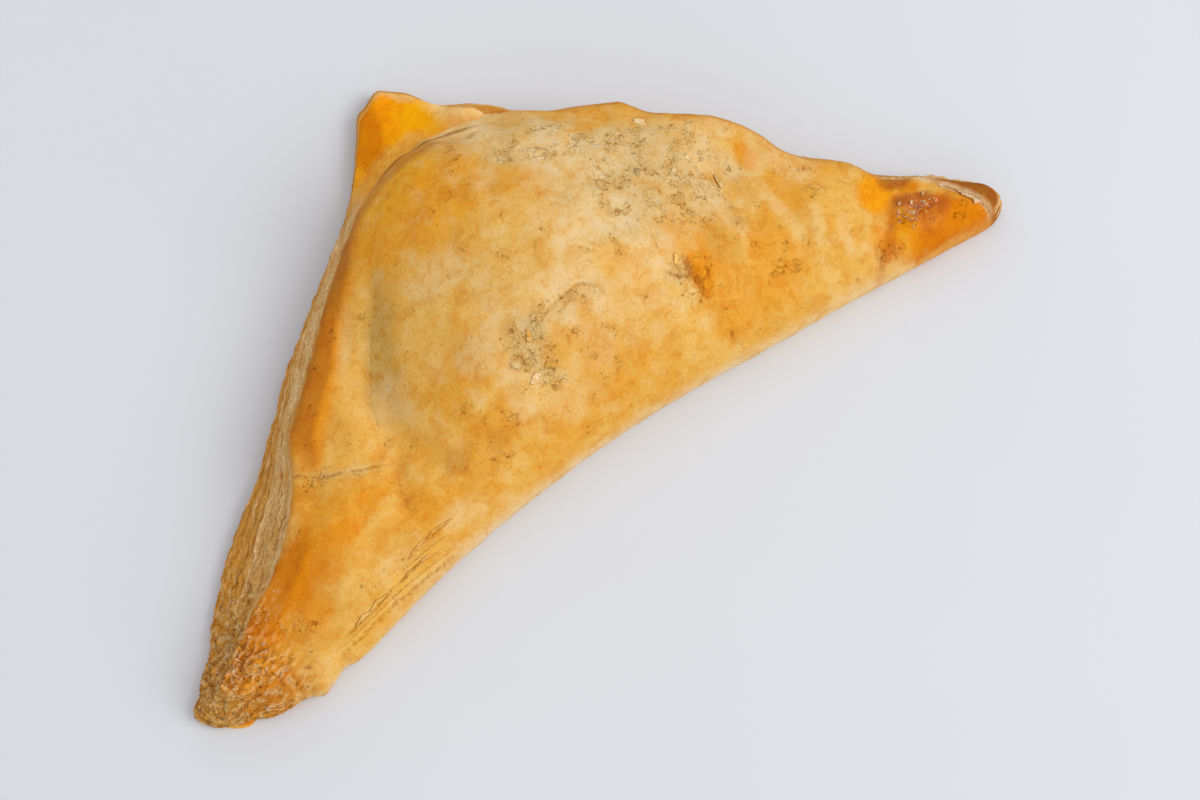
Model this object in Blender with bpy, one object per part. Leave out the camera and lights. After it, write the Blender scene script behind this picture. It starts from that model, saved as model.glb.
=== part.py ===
"""Potato puff pastry: a square of laminated dough folded corner to corner over a potato filling.

The folded edge runs along X and the square's free corner points to +Y. The underside is flat on z = 0.
Two rails run once round the pastry: the base rail is the edge of the lower sheet, and the rim rail is
the edge of the upper sheet, which is set back from it. Between them stands the flaky cut edge of the
dough, and inside the rim the upper sheet swells over the filling. The skin is a loft of rings that
follow the two rails. Lengths are in millimetres until the mesh is made.
"""

from collections import namedtuple

import bmesh
import bpy
import numpy as np
from mathutils import Vector, noise

MM = 0.001

# Driving dimensions
FOLD_HALF = 93.0  # half the folded edge, tip to middle
CORNER_REACH = 89.0  # free corner of the lower sheet, from the folded edge
FILLING_HEIGHT = 33.0  # top of the crust over the filling
WING_HEIGHT = 15.5  # top of the crust beside the filling
TIP_HEIGHT = 9.5  # top of the crust at the two tips
UNDERCUT = 1.4  # how far the flat underside stays inside the base rail

# Filling mound: centre, and its reach to the left, right, free corner and fold
MOUND_CENTRE = (3.0, 31.0)
MOUND_LEFT, MOUND_RIGHT = 37.0, 52.0
MOUND_UP, MOUND_DOWN = 50.0, 56.0

# Surface
LUMP_HEIGHT, LUMP_SIZE = 0.9, 17.0  # unevenness of the crust
LAYER_DEPTH = 0.5  # how far the cut edge's layers stand in and out
LAYER_WARP = 0.4  # how far they wander up and down
EDGE_ROUND = 2.2  # rise of the upper sheet's rounded edge above its rim
EDGE_SPREAD, FOLD_SPREAD = 12.0, 28.0  # how far in the crust reaches its full height

# Resolution of the solid
COLUMNS = 88  # columns on each side, tip to tip
WALL_ROWS = 13
CROWN_ROWS = 15
TRACK_STEP = 0.3  # spacing of the rails before the columns are picked
TIP_CROWDING = 0.55  # how much closer the columns stand at the tips
CORNER_SOFTNESS = 1.3  # rounding of the rails' corners
STYLE_SOFTNESS = 4.0  # how gradually one kind of edge turns into the next

# The line from tip to tip that the rings shrink to
SPINE_REACH = 0.93  # as a share of the pastry's length
SPINE_RISE = 30.0
SPINE_BEND = 1.3

Segment = namedtuple("Segment", "base rim base_bow rim_bow rim_height style flare")
Edge = namedtuple("Edge", "base rim rim_height styles flare")

LEDGE, SLOPE, FOLD = (1, 0, 0), (0, 1, 0), (0, 0, 1)

# Wall profiles from the underside to the rim: shares of the setback, then shares of the rim's height
PROFILE_STATIONS = (0.0, 0.14, 0.3, 0.45, 0.6, 0.75, 0.88, 1.0)
LEDGE_PROFILE = (
    (0.0, 0.0, 0.02, 0.14, 0.6, 0.93, 0.98, 1.0),
    (0.0, 0.14, 0.36, 0.47, 0.5, 0.56, 0.78, 1.0),
)
SLOPE_PROFILE = (
    (0.0, 0.0, 0.05, 0.2, 0.42, 0.66, 0.88, 1.0),
    (0.0, 0.12, 0.27, 0.4, 0.54, 0.68, 0.83, 1.0),
)
FOLD_PROFILE = (
    (0.45, 0.1, -0.03, -0.03, 0.08, 0.32, 0.63, 1.0),
    (0.0, 0.13, 0.28, 0.43, 0.58, 0.74, 0.87, 1.0),
)

# Corners of the rails, counted round from the right tip
RIGHT_TIP_FRONT, RIGHT_TIP_BACK = (FOLD_HALF - 2.3, -2.8), (FOLD_HALF + 0.4, 5.4)
LEDGE_RIGHT, APEX, LEDGE_LEFT = (20.9, 70.9), (0.8, CORNER_REACH - 0.5), (-15.8, 71.1)
LEFT_TIP, HEEL = (-FOLD_HALF - 0.4, 1.3), (-FOLD_HALF + 11.9, -7.6)
RIM_TIP_FRONT, RIM_TIP_BACK = (FOLD_HALF - 4.2, -1.4), (FOLD_HALF - 2.1, 4.0)
RIM_RIGHT, RIM_APEX, RIM_LEFT = (19.8, 67.1), (0.5, CORNER_REACH - 17.7), (-16.0, 66.2)
RIM_LEFT_TIP, RIM_HEEL = (-FOLD_HALF + 5.7, 0.9), (-FOLD_HALF + 13.5, -3.8)


def segments():
    """The rails' stretches, counter-clockwise from the right tip. Bows and heights are spaced evenly."""
    return (
        Segment(  # right cut edge, tip to the bared corner
            (RIGHT_TIP_BACK, LEDGE_RIGHT), (RIM_TIP_BACK, RIM_RIGHT),
            (0, 0.1, -0.2, -1.4, 0, -0.3, 0, 1.4, 2.1, 1.7, 1.3, 1.8, 1.3, 0.2, 0),
            (0, -0.1, -0.5, -2.3, 0, -0.7, -0.9, 1.8, 2.7, 2.0, 1.2, 2.4, 1.2, -0.1, 0),
            (9.0, 7.8, 9.5, 12.0, 16.0, 17.0, 15.5, 11.0), SLOPE, 0.7,
        ),
        Segment(  # bared corner of the lower sheet, right half
            (LEDGE_RIGHT, APEX), (RIM_RIGHT, RIM_APEX),
            (0, -0.2, -1.4, -0.4, 1.4, 0), (0, 0.5, 0.8, 0),
            (11, 11, 10.5, 10), LEDGE, 0.3,
        ),
        Segment(  # bared corner, left half
            (APEX, LEDGE_LEFT), (RIM_APEX, RIM_LEFT),
            (0, 2.3, 1.5, 0.8, 0.3, 0), (0, 1.2, 0.8, 0),
            (10, 10.5, 11, 11), LEDGE, 0.3,
        ),
        Segment(  # left cut edge, bared corner to left tip
            (LEDGE_LEFT, LEFT_TIP), (RIM_LEFT, RIM_LEFT_TIP),
            (0, 0.3, 1.3, 2.1, 1.3, 1.9, 2.4, 1.0, 0), (0, 0.6, 0.7, 0.2, 0, -3.7, -3.9, -1.5, 0),
            (11, 12, 13, 13.5, 13.5, 13, 12, 10.5, 9), SLOPE, 1.0,
        ),
        Segment(  # trimmed left end
            (LEFT_TIP, HEEL), (RIM_LEFT_TIP, RIM_HEEL),
            (0, 1.9, 0.7, 0), (0, 1.0, 0.4, 0),
            (9, 8.6, 8.4), SLOPE, 1.0,
        ),
        Segment(  # folded edge, left end to right tip
            (HEEL, RIGHT_TIP_FRONT), (RIM_HEEL, RIM_TIP_FRONT),
            (0, 0.1, -3.3, -5.7, -6.9, -7.2, -6.2, -4.7, -3.4, -1.7, 0),
            (0, 0.1, -3.6, -7.1, -9.0, -9.7, -8.6, -6.6, -4.8, -2.4, 0),
            (8.4, 9, 10.5, 12.5, 14.5, 15.5, 15.5, 13.5, 11, 9, 7.5), FOLD, 0.0,
        ),
        Segment(  # right tip
            (RIGHT_TIP_FRONT, RIGHT_TIP_BACK), (RIM_TIP_FRONT, RIM_TIP_BACK),
            (0, 3.0, 0), (0, 2.2, 0),
            (7.5, 8.8, 9.5), SLOPE, 0.5,
        ),
    )


def curve_through(values, t):
    """A Catmull-Rom curve through evenly spaced values, read at fractions t."""
    v = np.asarray(values, float)
    v = np.concatenate([[2 * v[0] - v[1]], v, [2 * v[-1] - v[-2]]])
    place = np.clip(np.asarray(t, float), 0, 1) * (len(v) - 3)
    i = np.minimum(place.astype(int), len(v) - 4)
    f = place - i
    a, b, c, d = v[i], v[i + 1], v[i + 2], v[i + 3]
    return b + 0.5 * f * (c - a + f * (2 * a - 5 * b + 4 * c - d + f * (3 * (b - c) + d - a)))


def bowed_line(ends, bow, t):
    """Points from one end to the other, bowed outwards: the loop runs counter-clockwise."""
    start, end = np.array(ends[0], float), np.array(ends[1], float)
    along = end - start
    outward = np.array([along[1], -along[0]]) / np.linalg.norm(along)
    return start + t[:, None] * along + curve_through(bow, t)[:, None] * outward


def softened(values, reach):
    """A closed run of values smoothed by a Gaussian of that reach, in millimetres along the rail."""
    waves = np.fft.rfft(values, axis=0)
    fade = np.exp(-2 * (np.pi * np.fft.rfftfreq(len(values), TRACK_STEP) * reach) ** 2)
    return np.fft.irfft(waves * fade[:, None], len(values), axis=0)


def make_track():
    """The two rails and what the edge is like all the way round, closely spaced."""
    places, kinds = [], []
    for s in segments():
        length = np.linalg.norm(np.subtract(s.base[1], s.base[0]))
        count = max(4, round(length / TRACK_STEP))
        t = (np.arange(count) + 0.5) / count
        rails = [bowed_line(s.base, s.base_bow, t), bowed_line(s.rim, s.rim_bow, t)]
        places.append(np.column_stack(rails))
        style = np.tile([*s.style, s.flare], (count, 1))
        kinds.append(np.column_stack([curve_through(s.rim_height, t), style]))
    places = softened(np.concatenate(places), CORNER_SOFTNESS)
    return np.column_stack([places, softened(np.concatenate(kinds), STYLE_SOFTNESS)])


def pick_columns(track, count):
    """The edge at 2 * count columns, paired across the pastry so that both sides meet on its spine."""
    track = np.roll(track, -track[:, 2].argmax(), axis=0)
    left = track[:, 2].argmin()
    turn = np.linspace(0, 1, count + 1)
    share = 0.5 * TIP_CROWDING * (1 - np.cos(np.pi * turn)) + (1 - TIP_CROWDING) * turn
    reach = track[0, 2] + (track[left, 2] - track[0, 2]) * share
    upper = track[: left + 1]
    lower = np.concatenate([track[left:], track[:1]])[::-1]
    picked = []
    for half in (upper, lower):
        falling = np.maximum.accumulate(-half[:, 2]) + np.arange(len(half)) * 1e-9
        picked.append(np.column_stack([np.interp(-reach, falling, v) for v in half.T]))
    picked = np.concatenate([picked[0], picked[1][-2:0:-1]])
    return Edge(picked[:, 0:2], picked[:, 2:4], picked[:, 4], picked[:, 5:8], picked[:, 8])


def fbm(x, y, z, size, octaves=3):
    """Fractal noise of about -1 to 1, whose largest lumps are about size across."""
    points = np.broadcast(x, y, z)
    values = [noise.fractal(Vector(p) / size, 1.0, 2.0, octaves) for p in points]
    return np.array(values).reshape(points.shape)


def smooth_step(low, high, value):
    t = np.clip((value - low) / (high - low), 0, 1)
    return t * t * (3 - 2 * t)


def distance_to_line(x, y, start, end):
    """Distance from a straight stretch, and how far along it the nearest point is, 0 to 1."""
    (ax, ay), (bx, by) = start, end
    dx, dy = bx - ax, by - ay
    t = np.clip(((x - ax) * dx + (y - ay) * dy) / (dx * dx + dy * dy), 0, 1)
    return np.hypot(x - ax - t * dx, y - ay - t * dy), t


def crease(x, y, start, end, width, depth):
    """A soft groove along a straight stretch, fading out at both ends."""
    away, t = distance_to_line(x, y, start, end)
    return -depth * np.exp(-((away / width) ** 2)) * np.sqrt(np.clip(4 * t * (1 - t), 0, 1))


def swell(x, y, centre, size, height, turn=0.0):
    """A smooth rise of that height, size = its two half-widths, turned in the plane."""
    u, v = x - centre[0], y - centre[1]
    a, b = u * np.cos(turn) + v * np.sin(turn), v * np.cos(turn) - u * np.sin(turn)
    return height * np.exp(-((a / size[0]) ** 2) - (b / size[1]) ** 2)


def mound(x, y):
    """The share of the filling's height under a point. The left flank starts at a crease."""
    u, v = x - MOUND_CENTRE[0], y - MOUND_CENTRE[1]
    across = np.where(u < 0, u / MOUND_LEFT, u / MOUND_RIGHT)
    along = np.where(v < 0, v / MOUND_DOWN, v / MOUND_UP)
    reach = (np.abs(across) ** 2.2 + np.abs(along) ** 2.2) ** (1 / 2.2)
    fade = 1.15 + 0.65 * smooth_step(-0.4, 0.6, across)
    return np.clip(1 - reach**2, 0, 1) ** fade


def crown_height(x, y):
    """Height of the upper sheet well inside its rim."""
    wing = TIP_HEIGHT + (WING_HEIGHT - TIP_HEIGHT) * smooth_step(FOLD_HALF, 38, np.abs(x))
    top = wing + (FILLING_HEIGHT - WING_HEIGHT) * mound(x, y)
    top += swell(x, y, (-54, 13), (13, 8), 2.4, 0.55)  # left wing's own pillow
    top += swell(x, y, (58, 17), (9, 9), 2.2, 0.0)  # right wing's own pillow
    top += swell(x, y, (44, 42), (9, 5), 1.6, -0.8)  # swelling under the right cut edge
    top += crease(x, y, (-22, 54), (-44, 6), 3.0, 2.2)  # sunk line left of the filling
    top += crease(x, y, (45, 48), (43, 8), 3.2, 1.8)  # sunk line right of the filling
    top += crease(x, y, (-58, 28), (-38, 17), 1.8, 0.9)  # wrinkle across the left wing
    top += crease(x, y, (-38, 20), (-37, 2), 2.0, 0.8)  # its turn down towards the fold
    top += crease(x, y, (-67, -5), (-42, 1), 1.6, 0.9)  # split along the folded edge
    top += crease(x, y, (74, 20), (65, 0), 2.4, 1.3)  # pinch before the right tip
    top += swell(x, y, (-9, 18), (7, 5), -0.9, 0.6)  # torn patch
    return top + LUMP_HEIGHT * fbm(x, y, 3.0, LUMP_SIZE)


def ledge_relief(x, y):
    """What stands up from the bared corner of the lower sheet."""
    nub = swell(x, y, (0.5, CORNER_REACH - 1.5), (3.0, 2.0), 1.4)
    flake = swell(x, y, (13.3, 71.8), (6.3, 3.6), 5.2, -0.75)
    return nub + flake


def wall_rows(edge, count):
    """Points of the cut edge and the fold, from the flat underside up to the rim: rows of (x, y, z)."""
    inward = edge.rim - edge.base
    setback = np.maximum(np.linalg.norm(inward, axis=1), 1e-6)
    ways = inward / setback[:, None]
    rows = []
    for i, v in enumerate(np.linspace(0, 1, count)):
        shares = [
            [np.interp(v, PROFILE_STATIONS, part) for part in profile]
            for profile in (LEDGE_PROFILE, SLOPE_PROFILE, FOLD_PROFILE)
        ]
        inset, rise = (edge.styles @ np.array(shares)).T
        offset, level = inset * setback, edge.rim_height * rise
        if i == 0:
            offset = offset + UNDERCUT
        elif 1 < i < count - 1:
            side = 1 if i % 2 else -1
            warp = fbm(*edge.base.T, i * 2.7, 9.0, 2)
            offset = offset - edge.flare * LAYER_DEPTH * (side + warp)
            level = level + edge.flare * LAYER_WARP * warp
        flat = edge.base + ways * offset[:, None]
        level = level + 2 * (1 - rise) * smooth_step(0.3, 0.5, rise) * ledge_relief(*flat.T)
        rows.append(np.column_stack([flat, level]))
    return rows


def shared(values):
    """The mean of each column's value and that of the column across the pastry from it."""
    return 0.5 * (values + values[-np.arange(len(values)) % len(values)])


def spine_of(ring):
    """For each column, its point on the line from tip to tip where both sides of a ring meet."""
    x = shared(ring[:, 0]) * SPINE_REACH
    return np.column_stack([x, SPINE_RISE * (1 - (np.abs(x) / FOLD_HALF) ** SPINE_BEND)])


def crown_rows(edge, count):
    """Points of the upper sheet, from the rim to the spine."""
    folded = edge.styles[:, 2]
    spine = spine_of(edge.rim)
    roll = EDGE_ROUND * (1 - folded)
    spread = EDGE_SPREAD + (FOLD_SPREAD - EDGE_SPREAD) * folded
    rows = []
    for q in np.linspace(0, 1, count + 1)[1:]:
        flat = edge.rim + (spine - edge.rim) * q**1.35
        away = np.linalg.norm(flat - edge.rim, axis=1)
        rolled = roll * np.sqrt(1 - (1 - np.clip(away / 3.0, 0, 1)) ** 2)
        rise = 1 - (1 - np.clip(away / spread, 0, 1)) ** 2.2
        level = edge.rim_height + rolled + (crown_height(*flat.T) - edge.rim_height - roll) * rise
        level += (shared(level) - level) * q**2
        rows.append(np.column_stack([flat, level]))
    return rows


def round_over(rings, folded, passes=6):
    """Smooths each column from the fold's wall up over its shoulder, where the edge is a fold."""
    rings = np.array(rings)
    weight = np.zeros(len(rings))
    weight[WALL_ROWS // 2 : WALL_ROWS + CROWN_ROWS // 2] = 0.5
    for _ in range(passes):
        middle = 0.5 * (rings[:-2] + rings[2:]) - rings[1:-1]
        rings[1:-1] += middle * weight[1:-1, None, None] * folded[None, :, None]
    return rings


def underside_rows(outer):
    """Flat rings from the spine out to the edge of the underside."""
    spine = spine_of(outer)
    return [
        np.column_stack([spine + (outer[:, :2] - spine) * share, np.zeros(len(outer))])
        for share in (0.0, 0.6)
    ]


def loft(name, rings):
    """One closed mesh from rings of points, welded where the first and last close on the spine."""
    weld = 0.02 * MM
    bm = bmesh.new()
    loops = [[bm.verts.new(Vector(p) * MM) for p in ring] for ring in rings]
    for low, high in zip(loops, loops[1:]):
        for i in range(len(low)):
            j = (i + 1) % len(low)
            bm.faces.new((low[i], low[j], high[j], high[i]))
    bmesh.ops.remove_doubles(bm, verts=bm.verts, dist=weld)
    bmesh.ops.dissolve_degenerate(bm, edges=bm.edges, dist=weld)
    bmesh.ops.triangulate(bm, faces=[f for f in bm.faces if len(f.verts) > 3])
    bmesh.ops.recalc_face_normals(bm, faces=bm.faces)
    mesh = bpy.data.meshes.new(name)
    bm.to_mesh(mesh)
    bm.free()
    return bpy.data.objects.new(name, mesh)


def centre_on_base(obj):
    """Moves the mesh so that the middle of its box, at the bottom, is the origin."""
    places = np.array([v.co for v in obj.data.vertices])
    low, high = places.min(axis=0), places.max(axis=0)
    shift = Vector(((low[0] + high[0]) / 2, (low[1] + high[1]) / 2, low[2]))
    for vertex in obj.data.vertices:
        vertex.co -= shift


def crust_material():
    """Golden baked crust."""
    material = bpy.data.materials.new("golden_crust")
    material.use_nodes = True
    shader = material.node_tree.nodes["Principled BSDF"]
    shader.inputs["Base Color"].default_value = (0.71, 0.39, 0.11, 1)
    shader.inputs["Roughness"].default_value = 0.5
    shader.inputs["Metallic"].default_value = 0.0
    material.diffuse_color = (0.71, 0.39, 0.11, 1)
    return material


def make_pastry():
    edge = pick_columns(make_track(), COLUMNS)
    skin = [*wall_rows(edge, WALL_ROWS), *crown_rows(edge, CROWN_ROWS)]
    skin = round_over(skin, edge.styles[:, 2])
    pastry = loft("pastry", [*underside_rows(skin[0]), *skin])
    centre_on_base(pastry)
    pastry.data.materials.append(crust_material())
    pastry.data.shade_smooth()
    return pastry


def main():
    for obj in list(bpy.data.objects):
        bpy.data.objects.remove(obj)
    collection = bpy.data.collections.new("potato_puff_pastry")
    bpy.context.scene.collection.children.link(collection)
    collection.objects.link(make_pastry())


main()
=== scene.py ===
"""Potato puff pastry: the baked crust, its cut-edge leaves, its loose flakes and the stage.

Laid out as an add-on and run as a script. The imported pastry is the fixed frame. The crust is lofted from
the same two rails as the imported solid, in finer steps and with its fine relief, and takes its place.
Shapes are worked out in millimetres on the pastry's own plan: X runs along the folded edge towards the
dark tip, Y from the middle of the fold towards the bared corner, and Z up from the floor.
"""

import functools
import math
from collections import namedtuple

import bmesh
import bpy
import numpy as np
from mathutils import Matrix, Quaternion, Vector, noise
from mathutils.bvhtree import BVHTree


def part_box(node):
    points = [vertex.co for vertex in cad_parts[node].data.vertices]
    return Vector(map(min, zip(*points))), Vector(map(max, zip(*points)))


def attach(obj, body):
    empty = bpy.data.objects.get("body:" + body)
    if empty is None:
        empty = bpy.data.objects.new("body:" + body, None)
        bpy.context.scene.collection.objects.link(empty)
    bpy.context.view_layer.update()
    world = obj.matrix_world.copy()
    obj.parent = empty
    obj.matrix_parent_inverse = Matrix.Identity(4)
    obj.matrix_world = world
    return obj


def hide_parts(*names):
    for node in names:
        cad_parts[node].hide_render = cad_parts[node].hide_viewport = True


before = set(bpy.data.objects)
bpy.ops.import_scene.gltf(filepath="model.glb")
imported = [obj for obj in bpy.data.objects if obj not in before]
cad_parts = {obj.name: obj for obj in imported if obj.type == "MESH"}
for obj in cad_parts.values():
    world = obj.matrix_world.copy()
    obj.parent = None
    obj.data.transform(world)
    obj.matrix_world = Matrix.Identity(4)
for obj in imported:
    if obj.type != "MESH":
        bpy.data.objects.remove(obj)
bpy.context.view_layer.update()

bl_info = {
    "name": "Potato Puff Pastry",
    "version": (1, 0, 0),
    "blender": (4, 5, 0),
    "location": "3D View > Sidebar > Pastry",
    "description": "Bakes a folded potato puff with its cut-edge leaves and loose flakes, on a pale stage",
    "category": "Add Mesh",
}

MM = 0.001
UP = np.array([0, 0, 1.0])
NODE, BODY, SLOT = "pastry", "root", "crust"

# Cut edge and fold, from the underside to the rim: shares of the setback, then of the rim's height
PROFILE_STATIONS = (0.0, 0.14, 0.3, 0.45, 0.6, 0.75, 0.88, 1.0)
LEDGE_PROFILE = (
    (0.0, 0.0, 0.02, 0.14, 0.6, 0.93, 0.98, 1.0),
    (0.0, 0.14, 0.36, 0.47, 0.5, 0.56, 0.78, 1.0),
)
SLOPE_PROFILE = (
    (0.0, 0.0, 0.05, 0.2, 0.42, 0.66, 0.88, 1.0),
    (0.0, 0.12, 0.27, 0.4, 0.54, 0.68, 0.83, 1.0),
)
FOLD_PROFILE = (
    (0.45, 0.1, -0.03, -0.03, 0.08, 0.32, 0.63, 1.0),
    (0.0, 0.13, 0.28, 0.43, 0.58, 0.74, 0.87, 1.0),
)
LEDGE, SLOPE, FOLD = (1, 0, 0), (0, 1, 0), (0, 0, 1)
UNDERCUT = 1.4  # how far the flat underside stays inside the base rail

# Filling mound: centre, and its reach to the left, right, free corner and fold
MOUND_CENTRE = (3.0, 31.0)
MOUND_LEFT, MOUND_RIGHT = 37.0, 52.0
MOUND_UP, MOUND_DOWN = 50.0, 56.0
MOUND_SQUARENESS = 2.2  # 2 gives a round outline, more a squarer one
LUMP_SIZE = 17.0
EDGE_ROUND = 2.2  # rise of the upper sheet's rounded edge above its rim
ROLL_REACH = 3.0  # how far in that edge reaches its full rise
EDGE_SPREAD, FOLD_SPREAD = 12.0, 28.0  # how far in the crust reaches its full height
CROWN_FULLNESS = 2.2  # how steeply the crust rises from its rim
PARTING = 0.47  # share of the cut edge's layers that lie under the parting of the two sheets
SPINE_REACH, SPINE_RISE, SPINE_BEND = 0.93, 30.0, 1.3  # line from tip to tip that the rings shrink to

# Steps of the crust's mesh
HALF_COLUMNS = 285
WALL_ROWS = 56
CROWN_ROWS = 84
UNDERSIDE_SHARES = (0.0, 0.35, 0.6, 0.8, 0.93)
TRACK_STEP = 0.3
TIP_CROWDING = 0.45
CORNER_SOFTNESS = 1.3
STYLE_SOFTNESS = 4.0
WALL_SMOOTHING, CROWN_SMOOTHING = 0.16, 0.5
SMOOTHING_PASSES = 190
RING_CROWDING = 1.35  # more than 1 brings the upper sheet's rings closer together near the rim
WELD_REACH = 0.02  # points closer than this are one

# Thin leaves and loose flakes: thicknesses, numbers and seeds
LEAF_ROOT = -0.7  # where a leaf starts, inside the cut edge
LEAVES, LEAF_SEED = 84, 11
STRIP_THICKNESS, BOWED_THICKNESS = 0.18, 0.25
SCALE_THICKNESS, CRUMB_THICKNESS = 0.1, 0.06
# Number of pale flecks painted as highlights on the dark tip, and the flakes' seed
PAINTED_GLINTS, FLAKE_SEED = 64, 23
END_TIP, END_REACH = -93.0, 24.0  # where the broken end starts, and how far its flakes reach
DROP_HEIGHT = 60.0  # flakes are dropped on the crust from here

# The stage: floor and light in metres, the camera on the pastry's plan with its roll in degrees
FLOOR_HALF = 4.0
KEY_PLACE, KEY_WIDTH, KEY_TINT = (0.62, -0.62, 0.95), 0.9, (1.0, 0.985, 0.96)
CAMERA_PLACE, CAMERA_AIM, CAMERA_ROLL = (-82.09, -75.54, 383.97), (1.6, 9.0, 8.0), 10.927
SENSOR_WIDTH = 36.0

Segment = namedtuple("Segment", "base rim base_bow rim_bow rim_height style flare")
Edge = namedtuple("Edge", "base rim rim_height styles flare")
Shape = namedtuple(
    "Shape",
    "fold_half corner_reach filling_height wing_height tip_height lump_height layers layer_depth",
)
Skin = namedtuple("Skin", "rings layer edge along offset")


def tone_property(name, description, colour):
    """A colour that the user can change."""
    return bpy.props.FloatVectorProperty(
        name=name, description=description, default=colour, size=3, min=0, max=1, subtype="COLOR"
    )


def length_property(name, description, millimetres):
    """A length that the user can change."""
    return bpy.props.FloatProperty(
        name=name, description=description, default=millimetres * MM, min=0, precision=5, unit="LENGTH"
    )


class PastrySizes(bpy.types.PropertyGroup):
    """Sizes of the pastry."""

    fold_half: length_property("Half fold", "Half of the folded edge, tip to middle", 93.0)
    corner_reach: length_property("Corner reach", "Bared corner, measured from the folded edge", 89.0)
    filling_height: length_property("Filling height", "Top of the crust over the filling", 33.0)
    wing_height: length_property("Wing height", "Top of the crust beside the filling", 15.5)
    tip_height: length_property("Tip height", "Top of the crust at the two tips", 9.5)
    lump_height: length_property("Lump height", "Unevenness of the crust", 0.9)
    layers: bpy.props.IntProperty(
        name="Layers", description="Layers of dough that the cut edge shows", default=17, min=4, max=24
    )
    layer_depth: length_property("Layer depth", "How far the layers stand in and out", 0.5)
    leaf_reach: length_property("Leaf reach", "How far the thin leaves stand out of the cut edge", 0.7)
    leaf_thickness: length_property("Leaf thickness", "Thickness of one thin leaf of dough", 0.16)
    flakes: bpy.props.IntProperty(
        name="Flakes", description="Loose flakes at the broken end", default=300, min=0, max=900
    )


class PastryColours(bpy.types.PropertyGroup):
    """Colours of the pastry."""

    gold: tone_property("Gold", "Crust that browned evenly", (0.81, 0.43, 0.075))
    straw: tone_property("Straw", "Lightly browned crust", (0.85, 0.5, 0.12))
    cream: tone_property("Cream", "Palest crust, over the filling", (0.86, 0.61, 0.29))
    ashen: tone_property("Ashen", "Greyish dull crust, dried over the filling", (0.69, 0.47, 0.19))
    # Olive paints the shade on the filling's left flank, in the hollow beside it, and dulls a patch by the
    # orange spot at the right
    olive: tone_property("Olive", "Dull yellow hollow beside the filling", (0.62, 0.37, 0.085))
    amber: tone_property("Amber", "Crust that browned a little more", (0.8, 0.345, 0.028))
    orange: tone_property("Orange", "Egg wash that pooled and baked deep", (0.82, 0.27, 0.0))
    tan: tone_property("Tan", "Browned crust without gloss", (0.66, 0.28, 0.035))
    brown: tone_property("Brown", "Well browned rim", (0.5, 0.17, 0.012))
    russet: tone_property("Russet", "Reddish brown at the dark tip", (0.55, 0.135, 0.012))
    dark: tone_property("Dark", "Almost burnt spots", (0.2, 0.05, 0.008))
    dough: tone_property("Dough", "Cut dough between the crusts", (0.7, 0.375, 0.11))
    dough_light: tone_property("Light dough", "Fresh edges of the cut layers", (0.84, 0.57, 0.27))
    # Painted shade: the cut layers greyed and darkened under the rim
    dough_grey: tone_property("Grey dough", "Dull layers in the shade of the rim", (0.66, 0.38, 0.125))
    fold: tone_property("Fold", "Pale crust along the fold", (0.85, 0.52, 0.17))
    ember: tone_property("Ember", "Thick egg wash that ran round the dark tip", (0.68, 0.19, 0.0))
    rust: tone_property("Rust", "Egg wash that baked brown", (0.68, 0.2, 0.0))
    # Bright: pale edge of the upper sheet, also used as painted light on its shaded step and on the flap
    # beside it
    bright: tone_property("Bright", "Thin edge of the upper sheet at the bared corner", (1.0, 0.69, 0.28))
    # Milk is laid palest low on the fold and along the dark tip's pale line
    milk: tone_property("Milk", "Hardly baked crust low on the fold", (0.83, 0.6, 0.35))
    saffron: tone_property("Saffron", "Thin bright egg wash", (1.0, 0.46, 0.0))
    glaze: tone_property("Glaze", "Bared corner, where the egg wash baked bright", (0.96, 0.35, 0.0))
    underside: tone_property("Underside", "Underside, browned on the baking tray", (0.55, 0.26, 0.05))


class PastryStage(bpy.types.PropertyGroup):
    """Floor, light and camera."""

    floor: tone_property("Floor", "Plain pale floor", (0.745, 0.76, 0.80))
    surroundings: tone_property("Surroundings", "Soft light from all round", (0.97, 0.985, 1.0))
    surround_strength: bpy.props.FloatProperty(
        name="Surround strength", description="Strength of the light from all round", default=0.70, min=0
    )
    key_power: bpy.props.FloatProperty(
        name="Key power", description="Power of the soft light", default=7.2, min=0, unit="POWER"
    )
    focal_length: bpy.props.FloatProperty(
        name="Focal length", description="Focal length of the camera", default=62.0, min=10, unit="CAMERA"
    )


# ---------------------------------------------------------------- curves, noise and masks


def curve_through(values, t):
    """A Catmull-Rom curve through evenly spaced values, read at fractions t."""
    v = np.asarray(values, float)
    v = np.concatenate([[2 * v[0] - v[1]], v, [2 * v[-1] - v[-2]]])
    place = np.clip(np.asarray(t, float), 0, 1) * (len(v) - 3)
    i = np.minimum(place.astype(int), len(v) - 4)
    f = place - i
    a, b, c, d = v[i], v[i + 1], v[i + 2], v[i + 3]
    return b + 0.5 * f * (c - a + f * (2 * a - 5 * b + 4 * c - d + f * (3 * (b - c) + d - a)))


def softened(values, reach):
    """A closed run of values smoothed by a Gaussian of that reach, in millimetres along the rail."""
    waves = np.fft.rfft(values, axis=0)
    fade = np.exp(-2 * (np.pi * np.fft.rfftfreq(len(values), TRACK_STEP) * reach) ** 2)
    return np.fft.irfft(waves * fade[:, None], len(values), axis=0)


def fbm(x, y, z, size, octaves=3):
    """Fractal noise of about -1 to 1, whose largest lumps are about size across. z picks a slice of it."""
    points = np.broadcast(x, y, z)
    values = [noise.fractal(Vector(p) / size, 1.0, 2.0, octaves) for p in points]
    return np.array(values).reshape(points.shape)


def ease(low, high, value):
    """0 at low, 1 at high, and eased between them."""
    t = np.clip((value - low) / (high - low), 0, 1)
    return t * t * (3 - 2 * t)


def between(first, second, share):
    """The first at a share of 0, the second at a share of 1."""
    return first + (second - first) * share


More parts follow.
